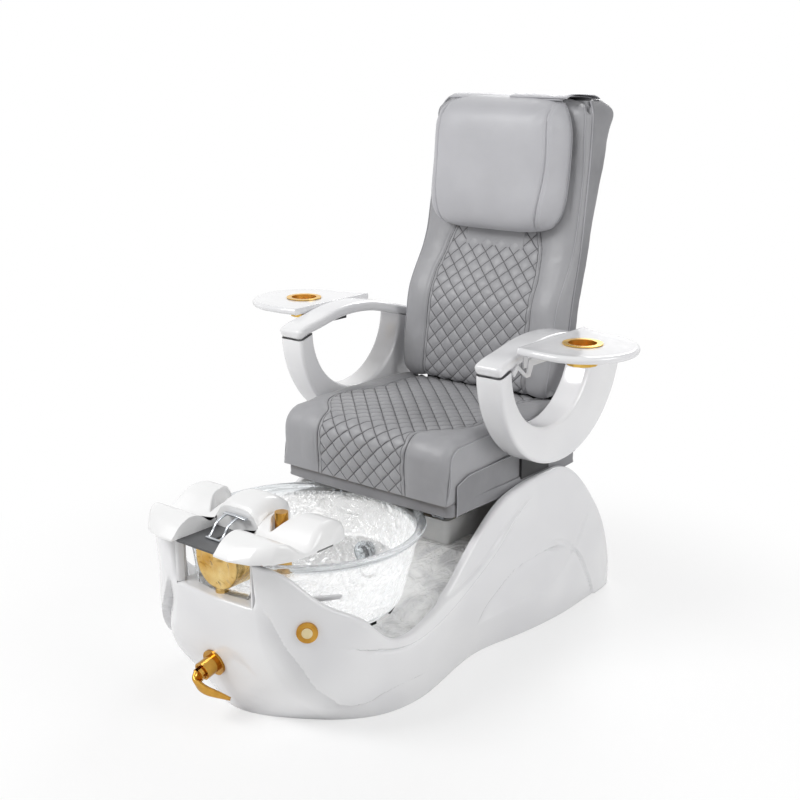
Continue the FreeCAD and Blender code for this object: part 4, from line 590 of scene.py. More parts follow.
def base_moulding():
    """The one-piece base: flanks, rolled rim, shoulder, pillars, ledge and stern, in quads with real relief."""
    roll = 9.0  # the rolled edge's radius
    bow_end, stern, last_share = 0.13, 0.40, 0.4125  # shares of the outline
    first = outline_share(LEDGE_HALF, [LEDGE_Z])[0]
    columns = np.r_[np.linspace(first, bow_end, 80), np.linspace(bow_end, stern, 220)[1:],
                    np.linspace(stern, last_share, 30)[1:]]

    def heights(shares):
        """The wall's top over each share, which depends on where the hull lies at that height."""
        level = np.full(shares.shape, 300.0)
        for _ in range(40):
            level = 0.5 * level + 0.5 * np.maximum(top_at(hull_point(shares, level)[..., 1]), 4)
        return level

    height = heights(columns)
    tail = columns > 0.30
    door_top, door_foot = (np.interp(-z, -height[tail], columns[tail]) for z in (DOOR_HIGH, DOOR_LOW))
    columns = ordered(columns, door_top, door_foot)
    height = heights(columns)
    rows = np.linspace(0, 1, 110)
    levels = np.linspace(0, 420, 43)
    edge = outline_share(LEDGE_HALF, levels)

    def share_at(z):
        """Each column's share at a height: the first column follows the ledge's side, the later ones stand still."""
        part = smoothstep(columns, first, bow_end)
        return np.interp(z, levels, edge) * (1 - part) + columns * part + (columns - first) * (1 - part)

    def pillar(z, x):
        """The soft upright edge of the pillar beside the ledge."""
        soft = 16.0
        part = np.clip(soft - (x - LEDGE_HALF), 0, soft)
        return (soft - np.sqrt(np.maximum(soft**2 - part**2, 0))) * smoothstep(z, LEDGE_Z - 2, LEDGE_Z + 26)

    def wall(z, inset):
        """One row of the flank."""
        u = share_at(z)
        return drawn(u, z, np.asarray(inset) + pillar(z, hull_point(u, z)[..., 0]))

    lift = np.maximum(height - roll, 1.0)
    turns = np.linspace(0, math.pi / 2, 7)[1:]
    side = np.stack([wall(lift * share, 0.0) for share in rows]
                    + [wall(lift + roll * math.sin(a), roll * (1 - math.cos(a))) for a in turns])
    # the rim: a level shoulder that follows the bowl's well, a rounded inner edge and a wall down to the deck
    top = side[-1]
    y = top[:, 1]
    ring = np.sqrt(np.maximum(RING_R**2 - (y - BOWL_Y) ** 2, 0))
    lip = top[:, 0] - 11
    goal = np.minimum(np.maximum(ring, LEDGE_HALF), lip)
    mix = smoothstep(y, -470, -405)
    goal = goal * (1 - mix) + lip * mix
    front = np.where(y < -425, LEDGE_Z, np.interp(y, [-425, -255, -120, -22, 392], [186, 186, 238, 282, 282]))
    low = np.minimum(front, top[:, 2] - 10)
    shelf = [np.stack([top[:, 0] + (goal + 5 - top[:, 0]) * share, y, top[:, 2]], -1)
             for share in np.linspace(0, 1, 8)[1:]]
    for a in np.linspace(0, math.pi / 2, 5)[1:]:
        shelf.append(np.stack([goal + 5 - 5 * math.sin(a), y, top[:, 2] - 5 * (1 - math.cos(a))], -1))
    for share in np.linspace(0, 1, 9)[1:]:
        shelf.append(np.stack([goal, y, (top[:, 2] - 5) * (1 - share) + low * share], -1))
    shelf.append(np.stack([goal, y, low], -1))
    rim = np.stack([top] + shelf)[:, y < CUT_Y]
    # the stern's roof and rear wall, from flank to flank
    deck = []
    for x, back, level in top[y >= CUT_Y - 3]:
        spread = np.r_[np.linspace(x, DOOR_HALF, 12), np.linspace(DOOR_HALF, -DOOR_HALF, 41)[1:-1],
                       np.linspace(-DOOR_HALF, -x, 12)]
        deck.append(np.stack([spread, 0 * spread + back, 0 * spread + level], -1))
    deck = np.stack(deck)
    # the bow between the pillars, and the ledge behind it
    part = np.linspace(-1, 1, 65)
    turned = np.stack([np.where(part < 0, -1, 1), np.ones(65), np.ones(65)], -1)

    def bow(z, inset):
        """One row of the bow."""
        return drawn(np.abs(part) * np.interp(z, levels, edge), np.full(part.shape, z), inset) * turned

    lid = LEDGE_Z - roll
    prow = [bow(lid * share, 0.0) for share in np.linspace(0, 1, 90)]
    prow += [bow(lid + roll * math.sin(a), roll * (1 - math.cos(a))) for a in turns]
    last = prow[-1]
    back = BOWL_Y - np.sqrt(HOLE_R**2 - last[:, 0] ** 2)
    for share in np.linspace(0, 1, 8)[1:]:
        prow.append(np.stack([last[:, 0], last[:, 1] + (back - last[:, 1]) * share, last[:, 2]], -1))
    # all grids as one mesh, each turned outwards, with the service opening left out of the rear wall
    points, faces = [], []
    foot = deck[-1]
    heel = np.stack([foot, foot * [1, 1, 0]])
    looks = ((side, (1, 0, 0)), (other_side(side), (-1, 0, 0)), (rim, (-1, 0, 1)), (other_side(rim), (1, 0, 1)),
             (np.stack(prow), (0, -1, 1)), (heel, (0, 1, 0)), (deck, (0, 1, 1)))
    for grid, outwards in looks:
        start = sum(len(p) for p in points)
        flat = grid.reshape(-1, 3)
        quads = np.array(grid_faces(*grid.shape[:2]))
        cross = np.cross(flat[quads[:, 2]] - flat[quads[:, 0]], flat[quads[:, 3]] - flat[quads[:, 1]])
        if (cross @ np.array(outwards)).sum() < 0:
            quads = quads[:, ::-1]
        middle = flat[quads].mean(1)
        door = ((grid is deck) & (np.abs(middle[:, 0]) < DOOR_HALF)
                & (middle[:, 2] > DOOR_LOW) & (middle[:, 2] < DOOR_HIGH))
        faces += (quads[~door] + start).tolist()
        points.append(flat)
    return mesh_piece("base_moulding", np.vstack(points), faces, "white", merge=0.4, turned=True, crease=50)


# Upholstery: the back's front, seam and rear in the side view and its half width, each as (height, value)
BACK_FRONT = [(577, 374), (650, 374), (740, 386), (830, 402), (930, 456), (1060, 492), (1180, 510), (1276, 515),
              (1322, 523), (1338, 533)]
BACK_SEAM = [(577, 427), (650, 433), (740, 443), (830, 457), (930, 483), (1060, 505), (1180, 523), (1276, 535),
             (1322, 542), (1338, 552)]
BACK_REAR = [(577, 446), (650, 474), (740, 488), (830, 506), (930, 537), (1060, 570), (1180, 612), (1276, 648),
             (1316, 651), (1338, 618)]
BACK_HALF = [(577, 238), (650, 248), (740, 250), (830, 250), (930, 249), (1060, 248), (1180, 246), (1276, 242),
             (1322, 234), (1338, 222)]


def read(rows, level):
    """A value read smoothly off (level, value) rows."""
    rows = np.asarray(rows, float)
    return cubic(rows[:, 0], rows[:, 1], np.clip(level, rows[0, 0], rows[-1, 0]))


def rough(points, scale_mm, seed=0):
    """Slow random relief between -1 and 1 at points in millimetres."""
    flat = np.asarray(points, float).reshape(-1, 3) / scale_mm + seed * 7.31
    made = np.array([noise.noise(Vector(p)) for p in flat])
    return made.reshape(np.shape(points)[:-1])


def tufts(x, s, pitch):
    """Diamond quilting over x and the run s: 0 on the stitched lines and 1 in the middle of each diamond."""
    return np.abs(np.sin(math.pi * (x + s) / pitch) * np.sin(math.pi * (x - s) / pitch)) ** 0.30


def lengthwise(profile, step):
    """A (y, z) profile resampled to even steps, with its outward normals and the length run so far."""
    profile = np.asarray(profile, float)
    count = int(run_of(profile)[-1] / step) + 1
    points = along(profile, np.linspace(0, 1, count))
    tangent = unit(np.gradient(points, axis=0))
    return points, np.stack([-tangent[:, 1], tangent[:, 0]], -1), run_of(points)


OFF_PANEL = [0, 0, -999]  # the quilting's mark where there is none
SIDE_STEPS = 16  # rows of a cover's side panel
STITCH_GAP = 9  # millimetres between the two seams round a quilted panel


def cover(profile, inner, half, bend, relief, puff, panel_half):
    """A padded cover and its quilting marks. Its face follows a side-view profile, rolls over a bend at each side and
    ends in side panels that run to an inner line. Relief gives how far the face stands out; puff how far the side
    panels do; panel_half is half the quilted panel's width along the profile."""
    points, normal, run = profile
    bend = np.broadcast_to(np.asarray(bend, float), run.shape)[:, None]
    flat = half - bend[:, 0]
    count = int(2 * flat.max() / 3.0) | 1
    turns = np.linspace(0, math.pi / 2, 9)[1:]
    x = np.concatenate([-flat[:, None] - bend * np.sin(turns[::-1]), flat[:, None] * np.linspace(-1, 1, count),
                        flat[:, None] + bend * np.sin(turns)], 1)
    drop = bend * np.r_[1 - np.cos(turns[::-1]), np.zeros(count), 1 - np.cos(turns)][None]
    across = run[:, None] + 0 * x
    edge_gap = panel_half[:, None] - np.abs(x)
    stand = (relief(x, across, edge_gap) * np.cos(np.clip(np.abs(x) - flat[:, None], 0, bend) / bend * 1.3)) - drop
    face = np.stack([x, points[:, :1] + normal[:, :1] * stand, points[:, 1:] + normal[:, 1:] * stand], -1)
    way = np.linspace(0, 1, SIDE_STEPS)[1:]
    parts = []
    for edge, sign in ((face[:, 0], -1), (face[:, -1], 1)):
        reach = np.linalg.norm(inner - edge[:, 1:], axis=1)
        panel = edge[:, None, 1:] * (1 - way[None, :, None]) + inner[:, None] * way[None, :, None]
        swell = puff * np.sin(math.pi * way)[None] * np.clip(reach / 90, 0, 1)[:, None]
        parts.append(np.concatenate([(sign * (half[:, None] + swell))[..., None], panel], -1))
    plain = np.zeros(parts[0].shape) + OFF_PANEL
    marks = np.concatenate([plain, np.stack([x, across, edge_gap], -1), plain], 1)
    return np.concatenate([parts[0][:, ::-1], face, parts[1]], 1), marks


def panelled(x, s, edge_gap, pitch, bolster, seam, seam_inner):
    """Relief of a quilted panel between smooth bolsters, with a double seam of the stated depths at its edge."""
    inside = smoothstep(edge_gap, 0, STITCH_GAP)
    return (inside * (-5.0 + 6.0 * tufts(x, s, pitch)) + (1 - inside) * bolster
            - seam * valley(edge_gap, 3.2) - seam_inner * valley(edge_gap + STITCH_GAP, 2.0))


def quilted_cover(name, body, node, cushion, marks, others):
    """A cushion's cover whose first grid carries the quilting; it rides on a body and stands for a node."""
    plain = np.zeros((sum(other[..., 0].size for other in others), 3)) + OFF_PANEL
    obj = grids_piece(name, [cushion] + others, "quilted_leather", marks=np.vstack([marks.reshape(-1, 3), plain]))
    place(obj, body, node)


SEAT_HALF, SEAT_UNDER, SEAT_REAR = 264.0, 425.4, 395  # its half width, underside and rear
FLAP_X, FLAP_FOOT = 268.6, 392  # the side flaps hang just clear of the boxing, down to their hem


def seat_panel_half(run):
    """Half the width of the seat's quilted panel along its face."""
    return cubic([0, 110, 150, 176, 240, 340, 372, 410, 455, 700], [141, 141, 143, 146, 200, 226, 218, 196, 190, 214],
                 np.clip(run, 0, 700))


def seat_cushion(look):
    """The seat: rolled front, quilted panel down its middle, smooth bolsters, boxed sides, piping on every seam."""
    nose = [(-46 - 60 * math.cos(a), 522 + 60 * math.sin(a)) for a in np.linspace(0, math.pi / 2, 13)]
    profile = [(-99.5, SEAT_UNDER), (-100.5, 441), (-103, 460), (-105.5, 490)] + nose
    profile += [(20, 584), (120, 586), (240, 585), (330, 582), (SEAT_REAR, 576)]
    profile = lengthwise(profile, 3.0)
    points, _, run = profile
    inner = np.stack([np.clip(points[:, 0], -98.5, SEAT_REAR), np.full(len(run), SEAT_UNDER)], -1)

    def relief(x, s, edge_gap):
        """The seat's tufts, seams, swelling bolsters and loose hide, faded out at the lower front edge."""
        spots = np.stack([x, s, 0 * x], -1)
        loose = 1.4 * rough(spots, 60) + 0.5 * rough(spots, 17, 1)
        bolster = 2.0 * np.sin(np.clip(-edge_gap / 60, 0, 1) * math.pi) + loose
        stand = panelled(x, s, edge_gap, look.quilt_pitch * 1000, bolster, 4.0, 1.6) - 3.0 * (x / SEAT_HALF) ** 2
        return stand * (0.1 + 0.9 * smoothstep(s, 8, 34))

    grid, marks = cover(profile, inner, np.full(len(run), SEAT_HALF), 4.0 + 18.0 * smoothstep(run, 0, 60), relief,
                        1.5, seat_panel_half(run))
    bottom = np.stack([grid[:, 0], grid[:, 0] * [0, 1, 1], grid[:, -1]], 1)
    rear = np.stack([grid[-1], grid[-1] * [1, 1, 0] + [0, 0, SEAT_UNDER]])
    quilted_cover("seat_cushion_cover", "seat", "seat_cushion", grid, marks, [bottom, rear])
    for side, (sign, _) in reversed(SIDES.items()):
        line = grid[:, -SIDE_STEPS if sign > 0 else SIDE_STEPS - 1] + [sign * 0.8, 0, 0]
        place(tube("seat_side_piping_" + side, line[4:-2:3], 2.4, "piping"), "seat")


def apron():
    """The leather apron below the seat: rounded corners and a turned hem, a low rear wall, and side flaps with
    piping over the boxing."""
    corner, front, rear, count = 16.0, -83.0, 477.0, 8
    middle = np.array([0, (front + rear) / 2])

    def outline(grow):
        """The apron's outline, grown outwards; it starts at the front's near corner."""
        loop = rounded_loop(2 * (SEAT_HALF + grow), rear - front + 2 * grow, corner + grow, count)
        return shut(np.roll(loop, count, axis=0) + middle)

    hem = [(0, 424), (1.2, 420), (1.6, 410), (1.0, 400), (2.2, 395), (2.6, 393), (0.4, 391.6), (-3, 392), (-4, 400),
           (-4, 420), (-4, 424)]
    rows = []
    for grow, z in hem:
        ring = along(outline(grow), np.linspace(0, 1, 420))
        spots = np.c_[ring, np.full(len(ring), float(z))]
        if grow > 0:
            spots[:, :2] += unit(ring - middle) * (0.8 * rough(spots, 45, 2))[:, None]
        rows.append(spots)
    place(grids_piece("seat_apron", [np.stack(rows + rows[:1])], "shell_leather"), "seat", "seat_skirt")
    bent = np.array([(-264, 398), (-264, 440), (-264, 474), (-258, 480), (-200, 480)])
    wall = [np.stack([np.c_[line, np.full(20, z)] for z in np.linspace(424, 480, 8)])
            for line in (along(path, np.linspace(0, 1, 20)) for path in (bent, bent[::-1] * [-1, 1]))]
    place(thickened(grids_piece("seat_rear_apron", wall, "shell_leather"), 0.003, 0.0), "seat")
    for side, (sign, _) in SIDES.items():
        y, up = np.meshgrid(np.linspace(-62, 392, 150), np.linspace(0, 1, 26), indexing="ij")
        top = np.interp(y, [-62, -20, 120, 392], [468, 484, 488, 486])
        spots = np.stack([0 * y, y, FLAP_FOOT + (top - FLAP_FOOT) * up], -1)
        spots[..., 0] = sign * (FLAP_X + 1.0 * np.sin(math.pi * up) + 0.6 * rough(spots, 38, 4))
        flap_piece = grids_piece("seat_side_flap_" + side, [spots], "shell_leather")
        place(thickened(flap_piece, 0.0024, -1.0), "seat")
        line = np.vstack([spots[0, ::2], spots[::4, -1]]) + [sign * 0.9, 0, 0]
        place(tube("seat_flap_piping_" + side, line, 1.7, "piping"), "seat")


def back_profile():
    """The back cushion's face in the side view, from its lower rear edge up and over the top."""
    z = np.linspace(612, 1296, 40)
    face = np.stack([read(BACK_FRONT, z) - 14, z], -1)
    low = [(424, 578.6), (398, 578.0), (376, 582), (364, 594)]
    top = [(507, 1316), (519, 1329), (535, 1335), (551, 1336)]
    return np.vstack([low, face, top])


def back_panel_half(z):
    """Half the width of the back's quilted panel at a height."""
    return np.interp(z, [560, 660, 760, 880, 960, 1040, 1340], [172, 169, 168, 166, 150, 122, 104])


def back_cushion(look):
    """The back: a quilted panel between smooth bolsters, boxed sides, and a pocket behind for the massage unit."""
    profile = lengthwise(back_profile(), 3.0)
    points = profile[0]
    z = points[:, 1]
    inner = np.stack([read(BACK_SEAM, z), z], -1)
    inner[0], inner[-1] = points[0], points[-1]
    half = read(BACK_HALF, z)

    def relief(x, s, edge_gap):
        """The back's tufts, seams, swelling bolsters and loose hide."""
        spots = np.stack([x, s, 0 * x], -1)
        loose = 1.6 * rough(spots, 55, 3) + 0.7 * rough(spots * [1.0, 0.45, 1.0], 15, 5)
        bolster = 7.0 * np.sin(np.clip(-edge_gap / 95, 0, 1) * math.pi) + loose
        return panelled(x, s, edge_gap, look.quilt_pitch * 1000, bolster, 4.5, 1.8) - 8 * (x / 250) ** 2

    grid, marks = cover(profile, inner, half, 26.0, relief, 4.0, back_panel_half(z))
    pocket_deep, pocket_half = 33.0, 0.3745
    across = np.r_[np.linspace(-1, -0.375, 8), -0.374, np.linspace(-0.36, 0.36, 13), 0.374, np.linspace(0.375, 1, 8)]
    rear = []
    for spot, wide, level in zip(inner, half, z):
        pocket = (pocket_deep if 650 < level < 1180 else 0.0) * (np.abs(across) < pocket_half)
        rear.append(np.stack([across * wide, spot[0] - pocket, np.full(len(across), level)], -1))
    quilted_cover("back_cushion_cover", "back", "back_cushion", grid, marks, [np.stack(rear)])
    for side, (sign, _) in SIDES.items():
        line = np.c_[sign * (half + 1.0), inner]
        place(tube("back_side_piping_" + side, line[6:-3:4], 2.6, "piping"), "back")
        rolled = grid[:, -20 if sign > 0 else 19]
        place(tube("back_front_piping_" + side, rolled[14:-6:3] + [sign * 0.4, -0.4, 0], 1.6, "piping"), "back")


def back_cover():
    """The upholstered hard shell behind the back: straight sides, rounded rear corners, a closed roof."""
    levels = np.r_[np.linspace(577, 1300, 150), np.linspace(1303, 1338, 14)]
    rows = []
    for level in levels:
        seam, rear, half = read(BACK_SEAM, level) + 3, read(BACK_REAR, level), read(BACK_HALF, level) + 2
        bend = min(26.0, (rear - seam) * 0.45)
        side = [(half, seam + (rear - bend - seam) * s) for s in np.linspace(0, 1, 16)]
        turn = [(half - bend + bend * math.cos(a), rear - bend + bend * math.sin(a))
                for a in np.linspace(0, math.pi / 2, 9)[1:]]
        across = [((half - bend) * s, rear) for s in np.linspace(1, -1, 60)[1:-1]]
        ring = side + turn + across + [(-x, y) for x, y in (side + turn)[::-1]]
        rows.append(np.c_[np.array(ring), np.full(len(ring), level)])
    wall = np.stack(rows)
    last = wall[-1]
    roof = [last * [1, 0, 1] + [0, 1, 0] * (591 + (last[:, 1:2] - 591) * s) for s in np.linspace(1, 0, 6)]
    loose = 1.5 * rough(wall, 60, 6) + 0.8 * rough(wall, 21, 7)
    fade = smoothstep(wall[..., 2], 577, 600) * (1 - smoothstep(wall[..., 2], 1300, 1330))
    middle = np.stack([0 * wall[..., 0], read(BACK_SEAM, wall[..., 2])], -1)
    wall[..., :2] += unit(wall[..., :2] - middle) * (loose * fade * 0.8)[..., None]
    obj = grids_piece("back_shell_cover", [wall, np.stack(roof)], "shell_leather")
    place(thickened(obj, 0.004, -1.0), "back", "back_shell")


def pillow():
    """The headrest pillow: thick, crowned, gathered at its corners, with a curved seam down each side."""
    low, high, half = 998.0, 1346.0, 210.0
    a, b = np.meshgrid(np.linspace(-1, 1, 151), np.linspace(-1, 1, 121), indexing="xy")
    a, b = np.sin(a * math.pi / 2) * 0.35 + a * 0.65, np.sin(b * math.pi / 2) * 0.35 + b * 0.65
    x = a * (half - 34 * np.abs(b) ** 5)
    z = (low + high) / 2 + (high - low) / 2 * b * (1 - 0.085 * np.abs(a) ** 5)
    plump = np.clip(1 - np.abs(a) ** 4.6, 0, 1) ** 0.42 * np.clip(1 - np.abs(b) ** 4.2, 0, 1) ** 0.40
    spots = np.stack([x, z, 0 * x], -1)
    side_seam = 172 - 22 * ((z - 1200) / 180) ** 2
    away = np.abs(x) - side_seam
    seam = (valley(away, 2.6) * 6.5 + valley(away - 9, 1.8) * 2.0) * smoothstep(plump, 0, 0.5)
    corner = smoothstep(np.abs(x) + 0.9 * (z - 1170), 235, 330)
    folds = corner * 2.6 * np.sin((np.abs(x) * 0.75 - z * 0.66) / 5.2) * smoothstep(plump, 0, 0.6)
    loose = 1.6 * rough(spots, 90, 8) + 0.25 * rough(spots, 30, 9)
    behind = read(BACK_FRONT, z) - 19.0
    front = behind - 84 * plump + seam + (folds + loose) * smoothstep(plump, 0.1, 0.7)
    face = np.stack([x, front, z], -1)
    rear = np.stack([x, behind, z], -1)
    obj = grids_piece("headrest_pillow_cover", [face, rear], "pillow_leather", merge=0.2)
    place(obj, "back", "headrest_pillow")
    for side, (sign, _) in SIDES.items():
        line = rear[:, -1 if sign > 0 else 0] - [0, 3, 0]
        place(tube("pillow_piping_" + side, line[6:-6:3], 2.0, "piping"), "back")


def flap():
    """The leather flap that carries the pillow over the top of the back, doubled at one end."""
    path = [(486, 1336), (504, 1342), (530, 1344), (562, 1343), (594, 1341), (622, 1339), (645, 1331), (656, 1312),
            (657, 1286), (651, 1254)]
    points, normal, run = lengthwise(path, 4.0)

    def layer(name, x_from, x_to, lift, stop):
        """One layer of hide over part of the width, lifted off the back's top, up to a run of the path."""
        keep = run < stop
        x = np.linspace(x_from, x_to, int((x_to - x_from) / 5) | 1)
        ease = 0.4 + 0.6 * np.minimum(1, np.minimum(x - x_from, x_to - x) / 6)
        flat = np.stack(np.broadcast_arrays(x[None], points[keep, :1], points[keep, 1:]), -1)
        outer, inner = flat.copy(), flat.copy()
        for spots, thick in ((outer, 4.0), (inner, 0.0)):
            stand = lift + thick * ease[None] + 0.77 * rough(flat, 40, 10)
            spots[..., 1] += normal[keep, :1] * stand
            spots[..., 2] += normal[keep, 1:] * stand
        rims = [np.stack([outer[0], inner[0]]), np.stack([outer[-1], inner[-1]]),
                np.stack([outer[:, 0], inner[:, 0]]), np.stack([outer[:, -1], inner[:, -1]])]
        return grids_piece(name, [outer, inner] + rims, "pillow_leather")

    main = place(layer("pillow_flap", -181, 181, 0.8, 999), "back", "headrest_strap")
    upper = place(layer("pillow_flap_overlap", 20, 196, 6.2, 200), "back")


# Arms: both lie on x 315, 76 wide, and the trays' tops on z 798
ARM_X, ARM_WIDE, ARM_CREST, TRAY_TOP, TRAY_THICK = 315, 76, 800, 798.0, 18.0
OUTER_CIRCLE, INNER_CIRCLE = (267, 745, 279), (216, 748, 178)  # the crescent's, as y, z and radius in the side view
TRAY_INNER, CUP_HOLE = 354.2, 39.0  # x of the tray's straight side, and the radius of the cup's hole


def crescent(side, sign, node):
    """The arm's loop: a moulded crescent between two circles, its faces flat and its edges rounded."""
    share = np.linspace(0, 1, 120)
    outer, inner = (np.c_[y + radius * np.cos(angle), z + radius * np.sin(angle)] for (y, z, radius), angle in
                    ((OUTER_CIRCLE, np.radians(183 + 167 * share)), (INNER_CIRCLE, np.radians(181 + 176 * share))))
    rows = []
    for o, i in zip(outer, inner):
        length = np.linalg.norm(o - i)
        loop = rounded_loop(ARM_WIDE, length, min(11.0, length / 2 - 1), 7)
        way = (o - i) / length
        middle = (o + i) / 2
        spots = np.c_[sign * (ARM_X + loop[:, 0]), middle + way * loop[:, 1:]]
        rows.append(shut(spots))
    obj = grids_piece("arm_crescent_" + side, [np.stack(rows)], "white")
    place(obj, "seat", "arm_loop_" + node)


CAP_TOP = [(-21, -42), (12, -30), (51, -22), (127, -6), (232, 0), (290, -6), (396, -32), (478, -54), (545, -74)]


def arm_cap(side, sign, node):
    """The moulded cap on the arm: a rounded bar that follows the crest and closes in a bull nose at each end."""
    line = along(CAP_TOP, np.linspace(0, 1, 160))
    way = unit(np.gradient(line, axis=0))
    up = np.stack([-way[:, 1], way[:, 0]], -1)
    run = run_of(line)
    rows = []
    for spot, lift, s in zip(line, up, run):
        end = min(s, run[-1] - s)
        nose = math.sqrt(max(0.0, 1 - (1 - min(end / 12.0, 1)) ** 2))
        loop = rounded_loop(ARM_WIDE - 14 * (1 - nose), 28.5 * (0.55 + 0.45 * nose), 11.0 * (0.55 + 0.45 * nose), 7)
        middle = np.array([spot[0], ARM_CREST + spot[1]]) - lift * 15.0
        spots = np.c_[sign * (ARM_X + loop[:, 0]), middle + lift * loop[:, 1:]]
        rows.append(shut(spots))
    start, end = ([row[:-1].mean(0) + (row - row[:-1].mean(0)) * scale for scale in (0.7, 0.35, 0.0)]
                  for row in (rows[0], rows[-1]))
    rows = start[::-1] + rows + end
    obj = grids_piece("arm_cap_cover_" + side, [np.stack(rows)], "white")
    place(obj, "seat", "arm_cap_" + node)


def tray(side, sign, node):
    """The swing-down tray: a moulded leaf with a full round rim, drawn round the cup's hole."""
    hub = np.array([449.0, 183.0])
    arc = [(448 + 138 * math.sin(a), 176 - 138 * math.cos(a)) for a in np.radians(np.linspace(2, 178, 34))]
    shape = np.array([(TRAY_INNER, 48), (372, 44), (400, 40), (424, 38.4)] + arc
                     + [(430, 315), (410, 320), (386, 331), (366, 342), (TRAY_INNER, 347)])
    runs = run_of(shape)
    edge = np.stack([np.interp(np.linspace(0, runs[-1], 240), runs, shape[:, k]) for k in (0, 1)], -1)
    inner_side = np.stack([np.full(60, TRAY_INNER), np.linspace(347, 48, 60)], -1)
    edge = np.vstack([edge, inner_side[1:]])
    way = unit(edge - hub)
    bend = 8.5
    straight = (edge[:, 0] < TRAY_INNER + 0.01)[:, None]
    rows = []
    for angle in np.linspace(-90, 90, 13):
        a = math.radians(angle)
        pull = bend * (1 - math.cos(a)) * np.where(straight, 0.25, 1.0)
        rows.append(np.c_[edge - way * pull, np.full(len(edge), TRAY_TOP - TRAY_THICK / 2 * (1 - math.sin(a)))])
    # from the rim inwards to the cup's hole, a shallow dish above and flat below
    bottom_rim, top_rim = rows[0], rows[-1]
    hole = hub + way * CUP_HOLE
    top, under = [], []
    for share in np.linspace(0, 1, 26)[1:]:
        spots = top_rim[:, :2] * (1 - share) + hole * share
        dish = 1.2 * math.sin(math.pi * min(1, share * 3) / 2)
        top.append(np.c_[spots, np.full(len(spots), TRAY_TOP - dish)])
    for share in np.linspace(1, 0, 8)[:-1]:
        spots = bottom_rim[:, :2] * (1 - share) + hole * share
        under.append(np.c_[spots, np.full(len(spots), TRAY_TOP - TRAY_THICK)])
    loop = np.stack([*under, *rows, *top, under[0]])
    obj = grids_piece("tray_leaf_" + side, [loop * [sign, 1, 1]], "white", merge=0.02)
    place(obj, "tray_" + side, "tray_" + node)


# Foot end: the pad's outline as (x, y) from its slot outwards in front and from its middle outwards behind, and the
# heights of its channel and of the hump between the feet as (y, z)
FOOT_FRONT = [(66, -654), (110, -656), (160, -641), (198, -608), (218, -565), (224, -500)]
FOOT_REAR = [(0, -378), (40, -388), (62, -424), (74, -474), (96, -506), (122, -470), (138, -420), (158, -384),
             (188, -378), (214, -400), (224, -450)]
FOOT_WAVE = [(-664, 426), (-646, 444), (-620, 463), (-592, 470), (-560, 459), (-530, 441), (-508, 454), (-482, 474),
             (-448, 481), (-412, 473), (-386, 452), (-366, 426)]
FOOT_HUMP = [(-521, 474), (-490, 487), (-450, 490), (-404, 468), (-370, 430)]


def foot_pad():
    """The footrest pad: a lobe for each foot, waved from toe to heel, with a raised hump between them and a slot."""
    base, slot, slot_rear, half = 429.4, 66.0, -521.0, 224.0
    fore = 46  # points ahead of the slot's rear edge
    sweep = slot + (half - slot) * np.sin(np.linspace(0, math.pi / 2, 60))
    across = np.r_[-sweep[::-1], np.linspace(-slot, slot, 61), sweep]
    lobe = np.r_[np.ones(60, bool), np.zeros(61, bool), np.ones(60, bool)]

    def rounded(distance, bend):
        """0 at an edge, 1 beyond its bend, and a quarter circle between."""
        return np.sqrt(np.clip(1 - (1 - np.clip(distance / bend, 0, 1)) ** 2, 0, 1))

    rows = []
    for x, wide, outer in zip(across, np.abs(across), lobe):
        # a column from front to rear: the lobe's wave, the hump over it, and both rounded down at every edge
        front = np.interp(wide, *np.transpose(FOOT_FRONT)) if outer else slot_rear
        rear = np.interp(wide, *np.transpose(FOOT_REAR))
        split = min(max(slot_rear, front + 1.0), rear - 1.0)
        y = np.r_[np.linspace(front, split, fore), np.linspace(split, rear, 60)[1:]]
        tall = read(FOOT_WAVE, y) - base
        rise = smoothstep(-np.full(y.shape, wide), -104, -52) * (smoothstep(y, -546, -508) if outer else 1.0)
        arch = 14.0 - 30.0 * (wide / 66) ** 4 if wide < 66 else -16.0
        tall = tall + (read(FOOT_HUMP, y) + arch - base - tall) * rise
        edge = rounded(y - front, 26.0) if outer else 0.72 + 0.28 * rounded(y - front, 12.0)
        edge = edge * rounded(rear - y, 13.0) * rounded(np.full(y.shape, half - wide), 24.0)
        z = base + 4.0 + (tall - 4.0) * edge
        if not outer:
            z[:fore] = base + (z[fore] - base) * np.linspace(0, 1, fore)
        spots = np.stack([np.full(len(y), x), y, z], -1)
        spots[:, 2] += 0.7 * rough(spots, 60, 11) * np.clip((z - base - 6) / 10, 0, 1)
        under = [(x, rear, base), (x, split, base), (x, front, base), tuple(spots[0])]
        rows.append(np.vstack([spots, under]))
    obj = grids_piece("foot_pad_cover", [np.stack(rows)], "foot_white", crease=38)
    place(obj, "footrest", "footrest_pad")


def tapered(name, path, widths, thicks, finish, flat=(1.0, 0.0, 0.0)):
    """A bar along a path whose width and thickness change, rounded in section and closed at both ends."""
    share = np.linspace(0, 1, 48)
    line = along(path, share)
    wide, thick = (np.interp(share, np.linspace(0, 1, len(v)), v) for v in (widths, thicks))
    way = unit(np.gradient(line, axis=0))
    up = unit(np.cross(way, np.array(flat)))
    across = np.cross(up, way)
    turn = np.linspace(0, 2 * math.pi, 33)
    a, b = np.cos(turn), np.sin(turn)
    a, b = np.sign(a) * np.abs(a) ** 0.7, np.sign(b) * np.abs(b) ** 0.7
    rows = [spot + o * (w / 2 * a)[:, None] + u * (k / 2 * b)[:, None]
            for spot, o, u, w, k in zip(line, across, up, wide, thick)]
    rows = [line[0] + 0 * rows[0]] + rows + [line[-1] + 0 * rows[0]]
    return grids_piece(name, [np.stack(rows)], finish, crease=50)


